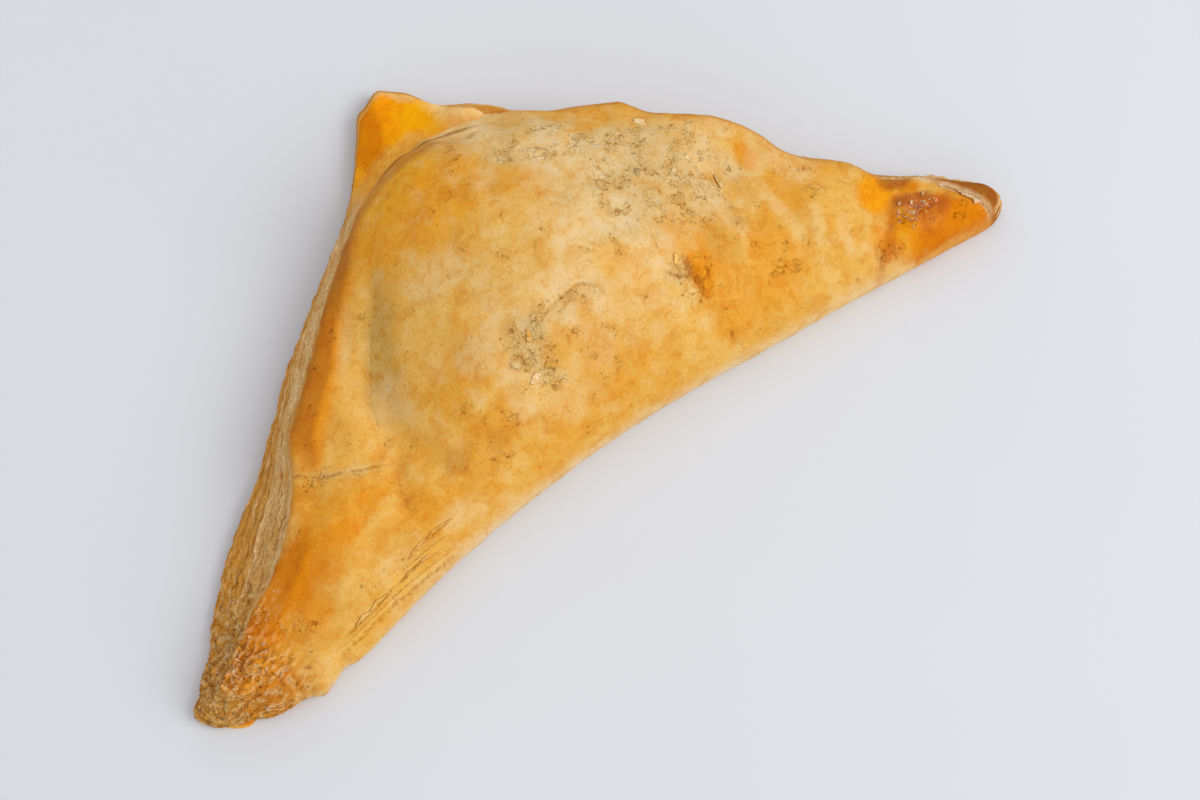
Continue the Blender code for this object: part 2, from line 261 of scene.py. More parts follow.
def distance_to_line(x, y, start, end):
    """Distance from a straight stretch, and how far along it the nearest point is, 0 to 1."""
    (ax, ay), (bx, by) = start, end
    dx, dy = bx - ax, by - ay
    t = np.clip(((x - ax) * dx + (y - ay) * dy) / (dx * dx + dy * dy), 0, 1)
    return np.hypot(x - ax - t * dx, y - ay - t * dy), t


def distance_to_path(x, y, path):
    """Distance from a path of points, and how far along it the nearest point is, 0 to 1."""
    best, place = np.full(np.shape(x), np.inf), np.zeros(np.shape(x))
    stretches = len(path) - 1
    for i in range(stretches):
        away, t = distance_to_line(x, y, path[i], path[i + 1])
        place = np.where(away < best, (i + t) / stretches, place)
        best = np.minimum(away, best)
    return best, place


def side_of_path(x, y, path):
    """Distance from a path, less than 0 on its right, and how far along it the nearest point is."""
    away, place = distance_to_path(x, y, path)
    stretch = np.minimum((place * (len(path) - 1)).astype(int), len(path) - 2)
    points = np.array(path, float)
    start, way = points[stretch], np.diff(points, axis=0)[stretch]
    across = way[..., 0] * (y - start[..., 1]) - way[..., 1] * (x - start[..., 0])
    return np.where(across < 0, -away, away), place


def crease(x, y, path, width, depth):
    """A soft groove along a path, fading out at both ends."""
    away, t = distance_to_path(x, y, path)
    return -depth * np.exp(-((away / width) ** 2)) * np.sqrt(np.clip(4 * t * (1 - t), 0, 1))


def turned(x, y, centre, turn):
    """Offsets from a centre, along axes turned in the plane."""
    u, v = x - centre[0], y - centre[1]
    return u * np.cos(turn) + v * np.sin(turn), v * np.cos(turn) - u * np.sin(turn)


def swell(x, y, centre, size, height, turn=0.0):
    """A smooth rise of that height, size = its two half-widths, turned in the plane."""
    a, b = turned(x, y, centre, turn)
    return height * np.exp(-((a / size[0]) ** 2) - (b / size[1]) ** 2)


# ---------------------------------------------------------------- rails of the pastry


def segments(shape):
    """The rails' stretches, counter-clockwise from the right tip. Bows and heights are spaced evenly."""
    half, reach = shape.fold_half, shape.corner_reach
    tip_front, tip_back = (half - 2.3, -2.8), (half + 0.4, 5.4)
    ledge_right, apex, ledge_left = (20.9, 70.9), (0.8, reach - 0.5), (-15.8, 71.1)
    left_tip, heel = (-half - 0.4, 1.3), (-half + 11.9, -7.6)
    rim_tip_front, rim_tip_back = (half - 4.2, -1.4), (half - 2.1, 4.0)
    rim_right, rim_apex, rim_left = (19.8, 67.1), (0.5, reach - 17.7), (-16.0, 66.2)
    rim_left_tip, rim_heel = (-half + 5.7, 0.9), (-half + 13.5, -3.8)
    return (
        Segment(  # right cut edge, tip to the bared corner
            (tip_back, ledge_right), (rim_tip_back, rim_right),
            (0, 0.1, -0.2, -1.4, 0, -0.3, 0, 1.4, 2.1, 1.7, 1.3, 1.8, 1.3, 0.2, 0),
            (0, -0.1, -0.5, -2.3, 0, -0.7, -0.9, 1.8, 2.7, 2.0, 1.2, 2.4, 1.2, -0.1, 0),
            (9.0, 7.8, 9.5, 12.0, 16.0, 17.0, 15.5, 11.0), SLOPE, 0.7,
        ),
        Segment(  # bared corner of the lower sheet, right half
            (ledge_right, apex), (rim_right, rim_apex),
            (0, -0.2, -1.4, -0.4, 1.4, 0), (0, 0.5, 0.8, 0),
            (11, 11, 10.5, 10), LEDGE, 0.3,
        ),
        Segment(  # bared corner, left half
            (apex, ledge_left), (rim_apex, rim_left),
            (0, 2.3, 1.5, 0.8, 0.3, 0), (0, 1.2, 0.8, 0),
            (10, 10.5, 11, 11), LEDGE, 0.3,
        ),
        Segment(  # left cut edge, bared corner to left tip
            (ledge_left, left_tip), (rim_left, rim_left_tip),
            (0, 0.3, 1.3, 2.1, 1.3, 1.9, 2.4, 1.0, 0), (0, 0.6, 0.7, 0.2, 0, -3.7, -3.9, -1.5, 0),
            (11, 12, 13, 13.5, 13.5, 13, 12, 10.5, 9), SLOPE, 1.0,
        ),
        Segment(  # trimmed left end
            (left_tip, heel), (rim_left_tip, rim_heel),
            (0, 1.9, 0.7, 0), (0, 1.0, 0.4, 0),
            (9, 8.6, 8.4), SLOPE, 1.0,
        ),
        Segment(  # folded edge, left end to right tip
            (heel, tip_front), (rim_heel, rim_tip_front),
            (0, 0.1, -3.3, -5.7, -6.9, -7.2, -6.2, -4.7, -3.4, -1.7, 0),
            (0, 0.1, -3.6, -7.1, -9.0, -9.7, -8.6, -6.6, -4.8, -2.4, 0),
            (8.4, 9, 10.5, 12.5, 14.5, 15.5, 15.5, 13.5, 11, 9, 7.5), FOLD, 0.0,
        ),
        Segment(  # right tip
            (tip_front, tip_back), (rim_tip_front, rim_tip_back),
            (0, 3.0, 0), (0, 2.2, 0),
            (7.5, 8.8, 9.5), SLOPE, 0.5,
        ),
    )


def unit(ways):
    """The same directions with a length of 1."""
    return ways / np.maximum(np.linalg.norm(ways, axis=1), 1e-6)[:, None]


def bowed_line(ends, bow, t):
    """Points from one end to the other, bowed outwards: the loop runs counter-clockwise."""
    start, end = np.array(ends[0], float), np.array(ends[1], float)
    along = end - start
    outward = np.array([along[1], -along[0]]) / np.linalg.norm(along)
    return start + t[:, None] * along + curve_through(bow, t)[:, None] * outward


def make_track(shape):
    """The two rails and what the edge is like all the way round, closely spaced."""
    places, kinds = [], []
    for s in segments(shape):
        length = np.linalg.norm(np.subtract(s.base[1], s.base[0]))
        count = max(4, round(length / TRACK_STEP))
        t = (np.arange(count) + 0.5) / count
        rails = [bowed_line(s.base, s.base_bow, t), bowed_line(s.rim, s.rim_bow, t)]
        places.append(np.column_stack(rails))
        style = np.tile([*s.style, s.flare], (count, 1))
        kinds.append(np.column_stack([curve_through(s.rim_height, t), style]))
    places = softened(np.concatenate(places), CORNER_SOFTNESS)
    return np.column_stack([places, softened(np.concatenate(kinds), STYLE_SOFTNESS)])


def pick_columns(track, count):
    """The edge at 2 * count columns, paired across the pastry so that both sides meet on its spine."""
    track = np.roll(track, -track[:, 2].argmax(), axis=0)
    left = track[:, 2].argmin()
    turn = np.linspace(0, 1, count + 1)
    share = 0.5 * TIP_CROWDING * (1 - np.cos(np.pi * turn)) + (1 - TIP_CROWDING) * turn
    reach = between(track[0, 2], track[left, 2], share)
    upper = track[: left + 1]
    lower = np.concatenate([track[left:], track[:1]])[::-1]
    picked = []
    for half in (upper, lower):
        falling = np.maximum.accumulate(-half[:, 2]) + np.arange(len(half)) * 1e-9
        picked.append(np.column_stack([np.interp(-reach, falling, v) for v in half.T]))
    picked = np.concatenate([picked[0], picked[1][-2:0:-1]])
    return Edge(picked[:, 0:2], picked[:, 2:4], picked[:, 4], picked[:, 5:8], picked[:, 8])


def nibbled(edge, along):
    """The same edge with its small nicks, bumps and ragged outline."""
    x, y = edge.base.T
    rough = 0.28 * fbm(along, 1.0, 4.0, 7.0, 2) + 0.16 * fbm(along, 1.0, 9.0, 1.8, 2)
    rough *= 0.25 + 0.75 * edge.flare + 0.9 * ease(-62, -78, x)
    for centre, size, height in (
        ((38.2, 56), (1.1, 8), 0.4),  # small bump on the right cut edge
        ((1.7, 88.5), (1.6, 3), 0.9),  # nub of the bared corner
        ((-2.6, 88), (1.6, 3), -0.5),
        ((77.6, 14), (1.3, 4), 0.6),  # bump behind the pinch at the right tip
        ((73.6, 16), (1.3, 4), -0.5),
        ((-93.4, 1.0), (1.6, 1.6), 0.8),  # corner of the broken end
        ((-71, -8), (2.2, 4), 1.3),  # nub at the broken end
        ((-66.0, -7), (1.6, 4), -0.8),
    ):
        rough += swell(x, y, centre, size, height)
    shift = unit(edge.base - edge.rim) * rough[:, None]
    return edge._replace(base=edge.base + shift, rim=edge.rim + 0.7 * shift)


# ---------------------------------------------------------------- height of the crust

SEAM = ((-57, 27.0), (-54.9, 26.1), (-50.5, 22.8), (-45.2, 20.7), (-38.3, 18.4))
SEAM_TURN = ((-38.3, 19.5), (-38.2, 17.9), (-40, 14.2), (-41.1, 8.5))
VALLEY = ((-22, 51), (-25.5, 45), (-30.5, 39), (-35.5, 31.5), (-37.5, 25))
ARC_CRACK = ((-5.5, 22.0), (-2.8, 22.9), (1.7, 23.9), (5.6, 24.2), (9.0, 21.8))
SHEET_EDGE = ((-12.4, 66.6), (-8.0, 68.7), (-3.5, 69.5), (2.0, 68.6), (6.5, 66.6), (11.5, 64.8))
SPLIT_LOW = ((-66, -5.6), (-60.4, -4.6), (-52.4, -2.9), (-42.3, -1.6), (-36, -0.8))
SPLIT_HIGH = ((-63.7, -3.2), (-60.4, -2.6), (-52.4, -0.9), (-45.0, 0.6), (-38, 0.6))
SPLIT_TOP = ((-46.0, 2.2), (-42.0, 3.4), (-38.8, 3.9), (-35.0, 4.2))
SPOT_CRACK = ((21.5, 19.5), (23.5, 17.6), (26.2, 16.6), (27.2, 14.2))
SPOT_CRACK_HIGH = ((26.2, 19.6), (27.0, 17.4), (27.3, 15.0), (27.2, 12.5))
TIP_LINE = ((82.6, 9.0), (84.1, 7.4), (86.3, 4.2), (88.2, 0.6), (88.9, -2.0))
RIM_STRIP = (
    (-19, 65.5), (-27.9, 55.6), (-34.5, 49.9), (-41, 43.4), (-45.4, 39.3), (-49.5, 35.6), (-52.6, 31.8),
    (-55.4, 27.4), (-58.6, 21.0), (-61.5, 17.6), (-64.8, 14.9), (-68.6, 12.4), (-75.4, 8.7), (-83, 3.5),
)
ARC_BROWNING = (
    (-37, 48.5), (-30, 55.0), (-25, 59.5), (-19, 63.3), (-12, 65.8), (-5, 67.0), (2, 66.8), (9, 64.6),
)
TIP_LIP = ((82.0, 13.5), (85.2, 10.2), (87.6, 7.4), (89.8, 4.0), (91.6, 0.2), (92.6, -3.5))
BELOW_SEAM = ((-67, 15.0), (-59, 19.8), (-52, 21.0), (-44, 19.6), (-36, 17.4))
TIP_PINCH = ((74.0, 15.5), (71.5, 10.0), (67.0, 5.5), (62.0, 1.5))
LENS_FLAKE = (
    (9.8, 75.4, 7.8), (12.4, 73.6, 9.5), (15.6, 71.2, 10.6), (18.5, 68.6, 11.0), (21.2, 65.4, 10.9),
)
LENS_LAMINA = (
    (10.2, 74.4, 7.4), (12.4, 72.0, 9.0), (15.6, 69.0, 10.3), (18.4, 66.9, 10.8), (20.8, 65.0, 10.9),
)
END_FLAKE = ((-90.6, -1.5, 0.5), (-88.6, -3.0, 0.5), (-86.6, -4.4, 0.5), (-84.7, -5.5, 0.5))
CRACKS = (
    # path, strength, how pale its lip is
    (SEAM, 0.6, 0.5), (SEAM_TURN, 0.4, 0.3), (ARC_CRACK, 0.5, 0.3), (SHEET_EDGE, 0.9, 0.6),
    (SPOT_CRACK, 0.6, 0.7), (SPOT_CRACK_HIGH, 0.35, 0.2), (SPLIT_LOW, 0.6, 0.8), (SPLIT_HIGH, 0.6, 1.0),
    # The valley's entry draws no crack: its dark line is painted shade in the crease at the foot of the
    # filling's left flank
    (SPLIT_TOP, 0.5, 1.0), (TIP_LINE, 0.25, 1.0), (VALLEY, 0.25, 0.3),
)
CRACK_REACH = 4.0  # how far from a crack its distance is kept


def mound(x, y):
    """The share of the filling's height under a point. The left flank starts at a crease."""
    u, v = x - MOUND_CENTRE[0], y - MOUND_CENTRE[1]
    across = np.where(u < 0, u / MOUND_LEFT, u / MOUND_RIGHT)
    along = np.where(v < 0, v / MOUND_DOWN, v / MOUND_UP)
    reach = np.abs(across) ** MOUND_SQUARENESS + np.abs(along) ** MOUND_SQUARENESS
    reach = reach ** (1 / MOUND_SQUARENESS)
    fade = 1.15 + 0.65 * ease(-0.4, 0.6, across)
    return np.clip(1 - reach**2, 0, 1) ** fade


def crown_height(shape, x, y):
    """Height of the upper sheet well inside its rim."""
    rise = ease(shape.fold_half, 38, np.abs(x))
    wing = between(shape.tip_height, shape.wing_height, rise)
    top = wing + (shape.filling_height - shape.wing_height) * mound(x, y)
    top += swell(x, y, (-54, 13), (13, 8), 2.4, 0.55)  # left wing's own pillow
    top += swell(x, y, (58, 17), (9, 9), 2.2, 0.0)  # right wing's own pillow
    top += swell(x, y, (44, 42), (9, 5), 1.6, -0.8)  # swelling under the right cut edge
    for path, width, depth in (
        (((-22, 54), (-44, 6)), 3.0, 2.2),  # sunk line left of the filling
        (((45, 48), (43, 8)), 3.2, 1.8),  # sunk line right of the filling
        (((-58, 28), (-38, 17)), 2.2, 0.6),  # wrinkle across the left wing
        (((-38, 20), (-37, 2)), 2.0, 0.8),  # its turn down towards the fold
        (((-67, -5), (-42, 1)), 1.6, 0.9),  # split along the folded edge
        (((74, 20), (65, 0)), 2.4, 1.3),  # pinch before the right tip
    ):
        top += crease(x, y, path, width, depth)
    top += swell(x, y, (-9, 18), (7, 5), -0.9, 0.6)  # torn patch
    return top + shape.lump_height * fbm(x, y, 3.0, LUMP_SIZE)


def ledge_relief(shape, x, y):
    """What stands up from the bared corner of the lower sheet."""
    nub = swell(x, y, (0.5, shape.corner_reach - 1.5), (3.0, 2.0), 1.4)
    flake = swell(x, y, (13.3, 71.8), (6.3, 3.6), 5.2, -0.75)
    return nub + flake


def crumbly(x, y):
    """Crumbs of the broken end, about a millimetre wide: above 0 on a crumb, below 0 between them."""
    return fbm(0.6 * x + 0.25 * y, y - 0.4 * x, 53.0, 1.0, 2)


def fine_relief(x, y):
    """Small wrinkles, blisters, cracks and splits of the upper sheet."""
    wavy_x = x + 0.9 * fbm(x, y, 11.0, 4.0, 2)
    wavy_y = y + 0.9 * fbm(x, y, 23.0, 4.0, 2)
    relief = 0.30 * fbm(x, y, 31.0, 7.0, 2) + 0.11 * fbm(x, y, 37.0, 2.4, 2)
    for path, width, depth in (
        (VALLEY, 1.2, 0.85),  # sharp foot of the filling's left flank
        (SEAM, 0.6, 0.3), (SEAM_TURN, 1.1, 0.7), (SPLIT_LOW, 0.6, 0.5), (SPLIT_HIGH, 0.6, 0.45),
        (SPLIT_TOP, 0.5, 0.3), (SPOT_CRACK, 0.6, 0.25), (SPOT_CRACK_HIGH, 1.0, 0.25), (TIP_PINCH, 1.2, 0.5),
    ):
        relief += crease(wavy_x, wavy_y, path, width, depth)
    relief += crease(x, y, ARC_CRACK, 0.45, 0.3) + crease(x, y, TIP_LINE, 0.8, 0.9)
    rough = 0.5 * fbm(x, y, 41.0, 1.9, 3)
    torn = swell(wavy_x, wavy_y, (-8.5, 18), (5.0, 7.5), 1.0, 0.3)
    dried = swell(wavy_x, wavy_y, (33, 34), (15, 12), 0.7, -0.4)
    dried += swell(wavy_x, wavy_y, (15, 56), (12, 5), 0.6, -0.5)
    blistered = swell(wavy_x, wavy_y, (76, 6), (5.0, 2.6), 1.1, -0.3)
    broken = ease(-68, -82, x) * 1.1
    relief += rough * np.clip(torn + dried * 0.6 + blistered + broken, 0, 1.3)
    relief += 0.6 * crumbly(x, y) * ease(-68, -80, x)
    ripples = np.sin((x - 0.35 * y) / 1.55 + 1.2 * fbm(x, y, 47.0, 9.0, 2))
    relief += 0.16 * ripples * swell(x, y, (51, 16), (9, 12), 1.0, -0.2)
    return relief


# ---------------------------------------------------------------- skin of the pastry


def cut_relief(shape, along, rows, edge):
    """How far each point of the cut edge stands in or out, in the layers of the dough."""
    v = np.linspace(0, 1, rows)[:, None] * np.ones(len(along))[None, :]
    s = np.tile(along, (rows, 1))
    wander = 0.8 * fbm(s, v * 30, 5.0, 26.0, 2) + 0.45 * fbm(s, v * 30, 15.0, 6.0, 3)
    layer = v * shape.layers + wander
    number = np.floor(layer)
    place = layer - number
    stand = fbm(s, number * 31.7, 2.0, 7.0, 3)
    groove = 1 - np.abs(2 * place - 1) ** 3
    grain = fbm(s, layer * 1.6, 8.0, 1.3, 2) * (0.4 + 0.6 * ease(0.15, 0.5, v))
    parting = np.exp(-(((layer - PARTING * shape.layers) / 0.45) ** 2)) * ease(-0.3, 0.4, stand)
    crumbling = ease(-76, -86, edge.base[:, 0])
    out = (0.9 * stand + 0.7 * (groove - 1)) * (1 - 0.8 * crumbling)
    out += (0.9 + 0.5 * crumbling) * grain - 1.3 * parting
    ledge, fold = edge.styles[:, 0], edge.styles[:, 2]
    ends = ease(0.02, 0.1, v) * ease(1.0, 0.94, v)
    ends *= 1 - ledge * ease(0.3, 0.38, v)
    broken = 1 + 0.8 * ease(-60, -84, edge.base[:, 0])
    soft = 0.16 * fbm(s, v * 16, 44.0, 5.0, 2) * (fold + ledge)
    return out * shape.layer_depth * edge.flare * broken * ends + soft, layer


def wall_rings(shape, edge, along, rows):
    """Points of the cut edge and the fold, from the flat underside up to the rim, and their layers."""
    inward = edge.rim - edge.base
    setback = np.maximum(np.linalg.norm(inward, axis=1), 1e-6)
    ways = inward / setback[:, None]
    relief, layer = cut_relief(shape, along, rows, edge)
    rings = []
    for i, v in enumerate(np.linspace(0, 1, rows)):
        shares = [
            [np.interp(v, PROFILE_STATIONS, part) for part in profile]
            for profile in (LEDGE_PROFILE, SLOPE_PROFILE, FOLD_PROFILE)
        ]
        inset, rise = (edge.styles @ np.array(shares)).T
        under = UNDERCUT * (1 - ease(0, 0.06, v))
        offset, level = inset * setback + under, edge.rim_height * rise
        flat = edge.base + ways * (offset - relief[i])[:, None]
        level = level + 2 * (1 - rise) * ease(0.3, 0.5, rise) * ledge_relief(shape, *flat.T)
        rings.append(np.column_stack([flat, level]))
    return rings, layer


def shared(values):
    """The mean of each column's value and that of the column across the pastry from it."""
    return 0.5 * (values + values[-np.arange(len(values)) % len(values)])


def spine_of(shape, ring):
    """For each column, its point on the line from tip to tip where both sides of a ring meet."""
    x = shared(ring[:, 0]) * SPINE_REACH
    return np.column_stack([x, SPINE_RISE * (1 - (np.abs(x) / shape.fold_half) ** SPINE_BEND)])


def crown_rings(shape, edge, count):
    """Points of the upper sheet, from the rim to the spine, without its fine relief."""
    folded = edge.styles[:, 2]
    spine = spine_of(shape, edge.rim)
    roll = EDGE_ROUND * (1 - folded)
    spread = between(EDGE_SPREAD, FOLD_SPREAD, folded)
    rings = []
    for q in np.linspace(0, 1, count + 1)[1:]:
        flat = between(edge.rim, spine, q**RING_CROWDING)
        away = np.linalg.norm(flat - edge.rim, axis=1)
        rolled = roll * np.sqrt(1 - (1 - np.clip(away / ROLL_REACH, 0, 1)) ** 2)
        rise = 1 - (1 - np.clip(away / spread, 0, 1)) ** CROWN_FULLNESS
        top = crown_height(shape, *flat.T) - edge.rim_height - roll
        level = edge.rim_height + rolled + top * rise
        rings.append(np.column_stack([flat, between(level, shared(level), q**2)]))
    return rings


def round_over(rings, folded):
    """Smooths each column from the fold's wall up over its shoulder, where the edge is a fold."""
    weight = np.zeros(len(rings))
    weight[WALL_ROWS // 2 : WALL_ROWS] = WALL_SMOOTHING
    weight[WALL_ROWS : WALL_ROWS + CROWN_ROWS // 2] = CROWN_SMOOTHING
    for _ in range(SMOOTHING_PASSES):
        middle = 0.5 * (rings[:-2] + rings[2:]) - rings[1:-1]
        rings[1:-1] += middle * weight[1:-1, None, None] * folded[None, :, None]
    return rings


@functools.lru_cache(maxsize=1)
def make_skin(shape):
    """The crust's rings of points, and how the pastry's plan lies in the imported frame."""
    edge = pick_columns(make_track(shape), HALF_COLUMNS)
    steps = np.linalg.norm(np.roll(edge.base, -1, axis=0) - edge.base, axis=1)
    along = np.concatenate([[0], np.cumsum(steps)[:-1]])
    packed_low, packed_high = (np.array(corner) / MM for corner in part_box(NODE))
    plan = np.concatenate([edge.base, edge.rim])
    middle = 0.5 * (plan.min(axis=0) + plan.max(axis=0))
    offset = np.append(0.5 * (packed_low + packed_high)[:2] - middle, packed_low[2])
    edge = nibbled(edge, along)
    wall, layer = wall_rings(shape, edge, along, WALL_ROWS)
    rings = np.array([*wall, *crown_rings(shape, edge, CROWN_ROWS)])
    rings = round_over(rings, edge.styles[:, 2])
    crown = rings[WALL_ROWS:]
    inside = np.linspace(0, 1, CROWN_ROWS + 1)[1:, None]
    relief = fine_relief(crown[..., 0], crown[..., 1]) * ease(0, 0.05, inside)
    crown[..., 2] += between(relief, np.apply_along_axis(shared, 1, relief), inside**12)
    return Skin(rings, layer, edge, along, offset)


# ---------------------------------------------------------------- colours of the crust


class Coat:
    """Colours and marks laid on points of the pastry, one over the other."""

    def __init__(self, tones, x, y, ground):
        self.tones = tones
        self.x, self.y = x, y
        self.ragged = 0.36 * fbm(x, y, 61.0, 7.0, 3) + 0.14 * fbm(x, y, 67.0, 1.7, 3)
        self.colour = np.ones(np.shape(x) + (3,)) * tones[ground]
        self.specks = np.zeros(np.shape(x))
        self.crackle = np.zeros(np.shape(x))
        self.gloss = np.zeros(np.shape(x))

    def lay(self, tone, mask):
        """One tone over what is there, as far as the mask says."""
        self.colour += (self.tones[tone] - self.colour) * np.clip(mask, 0, 1)[..., None]

    def spot(self, centre, size, turn=0.0):
        """A ragged spot, 1 in the middle and 0 outside, size = its two half-widths."""
        a, b = turned(self.x, self.y, centre, turn)
        return ease(1.35, 0.6, np.hypot(a / size[0], b / size[1]) + self.ragged)

    def dab(self, *spots, within=1.0):
        """Ragged spots, one over the other: tone, centre, half-widths, strength, and turn if it has one."""
        for tone, centre, size, strength, *turn in spots:
            self.lay(tone, strength * within * self.spot(centre, size, *turn))

    def stroke(self, *lines):
        """Ragged lines that fade out at both ends: tone, path, half-width and strength."""
        for tone, path, width, strength in lines:
            away, place = distance_to_path(self.x, self.y, path)
            ends = np.clip(8 * place * (1 - place), 0, 1)
            self.lay(tone, strength * ends * ease(1.2, 0.2, away / width + 0.7 * self.ragged))


def bake_filling(coat):
    """Crust over the filling: pale and dried out in the middle, browned at the upper left, with painted
    shade in the hollow at its left.
    """
    coat.dab(
        ("cream", (16, 31), (26, 16), 0.65), ("cream", (20, 36), (7, 5), 0.7),
        ("ashen", (31, 38), (19, 14), 0.75, -0.5), ("ashen", (15, 56), (13, 6), 0.7, -0.5),
        ("cream", (21, 48), (11, 7), 0.7, -0.4), ("ashen", (32, 39), (8, 6), 0.4),
        ("cream", (19, 34), (5, 5), 0.5), ("straw", (-2, 34), (9, 8), 0.6),
        ("amber", (-14.5, 30.5), (3.2, 3.0), 0.5), ("gold", (2, 42), (8, 6), 0.5),
        ("straw", (-20, 38), (9, 12), 0.5, -0.4), ("amber", (-14, 57), (14, 9), 0.85, 0.6),
        ("amber", (-17, 59), (10, 4), 0.6, 0.6), ("saffron", (-23, 57), (8, 3.5), 0.45, 0.7),
        ("saffron", (-8, 65.5), (10, 2.2), 0.45, 0.1), ("cream", (3, 51.5), (3, 3), 0.5),
        ("amber", (-7, 49), (8, 7), 0.75, 0.6), ("amber", (-2, 56), (6, 5), 0.65),
        ("saffron", (-10, 61), (10, 4), 0.4, 0.35), ("cream", (8.5, 63), (5, 4.5), 0.7, -0.4),
        ("amber", (6, 47), (8, 4), 0.5, -0.3), ("straw", (1, 44), (6, 5), 0.5),
        ("amber", (33, 55), (9, 3.5), 0.5, -0.7), ("ashen", (26, 49.5), (4, 3), 0.6),
        ("amber", (29, 25.5), (3.5, 4), 0.55), ("gold", (34, 29), (4, 6), 0.3),
        ("amber", (27.5, 21), (2.5, 2.5), 0.5), ("gold", (13, 20), (4, 5), 0.5),
        ("straw", (-27, 54), (2.5, 4), 0.5, -0.6), ("cream", (41.5, 29), (4, 4), 0.5),
        ("cream", (45, 36), (5, 5), 0.45), ("cream", (51.5, 41), (4, 4), 0.5, -0.7),
        # The olive dabs are painted shade on the filling's left flank, where it rises from the hollow
        ("olive", (-30, 37.5), (4.2, 8.5), 0.85, -0.62), ("olive", (-24.5, 46), (3, 5), 0.25, -0.5),
        ("ashen", (-34.5, 29), (3, 5), 0.55, -0.3), ("straw", (-22, 33), (6, 6), 0.5),
        ("amber", (-19.5, 26), (3.5, 3), 0.4), ("cream", (-16.5, 24), (4, 4), 0.35),
        ("cream", (-31.5, 28), (2.5, 4), 0.3), ("amber", (-23, 21), (4.5, 2.5), 0.5),
        ("cream", (-14.5, 41), (5, 3.5), 0.45), ("cream", (-12, 27), (5, 5), 0.35),
        ("gold", (3, 30), (2.5, 7), 0.4, 0.2), ("gold", (14, 25), (4, 3), 0.5),
        ("saffron", (-14, 30), (3, 3), 0.35), ("saffron", (-10.5, 14.5), (2.5, 3), 0.35),
        ("saffron", (-5, 49), (4, 3), 0.25), ("cream", (3, 14), (4, 3.5), 0.35),
    )


def bake_wings(coat):
    """Crust of the two wings, from the brown rim at the left to the pinch before the dark tip."""
    coat.dab(
        ("straw", (-38, 35), (3.2, 12), 0.45, -0.62), ("orange", (-46, 34), (2.6, 8), 0.6, -0.62),
        ("tan", (-47, 34.5), (2.2, 7), 0.5, -0.62), ("amber", (-42, 26.5), (3, 4), 0.4),
        ("tan", (-45, 30), (3, 4), 0.4), ("straw", (-38.5, 26), (1.8, 7), 0.35, -0.1),
        ("cream", (-33.5, 43.5), (1.6, 6), 0.35, -0.6), ("amber", (-50, 17), (13, 5.5), 0.85, 0.15),
        ("orange", (-54, 12.0), (4, 2.0), 0.4, 0.2), ("orange", (-45.5, 15), (2.2, 1.6), 0.4),
        ("orange", (-62, 9), (11, 4.5), 0.5, 0.4), ("tan", (-62, 8), (8, 5), 0.3, 0.4),
        ("rust", (-67, 8.0), (7.5, 4.6), 0.8, 0.5), ("tan", (-71, 0), (9, 5), 0.35, 0.1),
        ("amber", (-61, 1.5), (9, 3), 0.35, 0.1), ("amber", (-52, 6.5), (5, 2.5), 0.5, 0.1),
        ("rust", (-75, 4.5), (5.5, 3.2), 0.75, 0.5), ("amber", (-74, 1), (6, 5), 0.7, 0.4),
        ("straw", (-45, 9), (5, 2.6), 0.5), ("tan", (-64, 1), (9, 4.5), 0.4, 0.1),
        ("tan", (-79, -3), (4.5, 4), 0.45), ("orange", (-65, 2.5), (3, 2.5), 0.35),
        ("straw", (-73.5, -3), (2.5, 2), 0.25), ("straw", (-56, 3.0), (5, 2.5), 0.6),
        ("straw", (-60, -1.0), (5, 2.0), 0.5), ("cream", (-47, 3.0), (5, 2.0), 0.35),
        ("straw", (-43, 25), (6, 3), 0.6, -0.2), ("amber", (-38.5, 10), (3.2, 5.5), 0.8),
        ("tan", (-38.5, 9), (2.8, 3.0), 0.4), ("tan", (-45, 6), (6, 3), 0.25),
        ("cream", (-33, 4), (5, 2.5), 0.35), ("brown", (-29, 12), (2.3, 2.6), 0.45),
        ("amber", (-20, 13), (7, 4), 0.6), ("brown", (-20.5, 11), (2.2, 1.8), 0.3),
        ("amber", (-27, 7), (6, 3), 0.5), ("cream", (-4, 9.5), (6, 3), 0.4),
        ("amber", (-41, 8), (9, 2.8), 0.6), ("brown", (-68, 10.0), (4.5, 2.2), 0.45, 0.5),
        ("amber", (31, 9), (6.5, 5), 0.75, 0.6), ("amber", (42, 12.5), (11, 4), 0.8, 0.85),
        ("amber", (47, 9), (6, 3), 0.55, 0.6), ("amber", (55, 23), (3.2, 6), 0.6, -0.3),
        ("amber", (51.8, 33.3), (2.1, 3.0), 1.0), ("tan", (51.8, 33.3), (1.7, 2.6), 0.4),
        ("orange", (52.4, 33.8), (1.6, 3.0), 0.5), ("cream", (56, 35), (3, 6), 0.35, -0.6),
        ("cream", (60, 27), (4, 5), 0.45, -0.8), ("cream", (51.0, 20), (1.4, 8), 0.3, 0.12),
        ("cream", (55.5, 14), (1.3, 4.5), 0.4, -0.5), ("cream", (59.5, 9.5), (1.4, 4), 0.35, -0.3),
        ("straw", (61, 15), (6, 6), 0.2), ("amber", (2, 9), (20, 3.5), 0.25),
        ("amber", (61, 14), (4, 4), 0.25),
    )


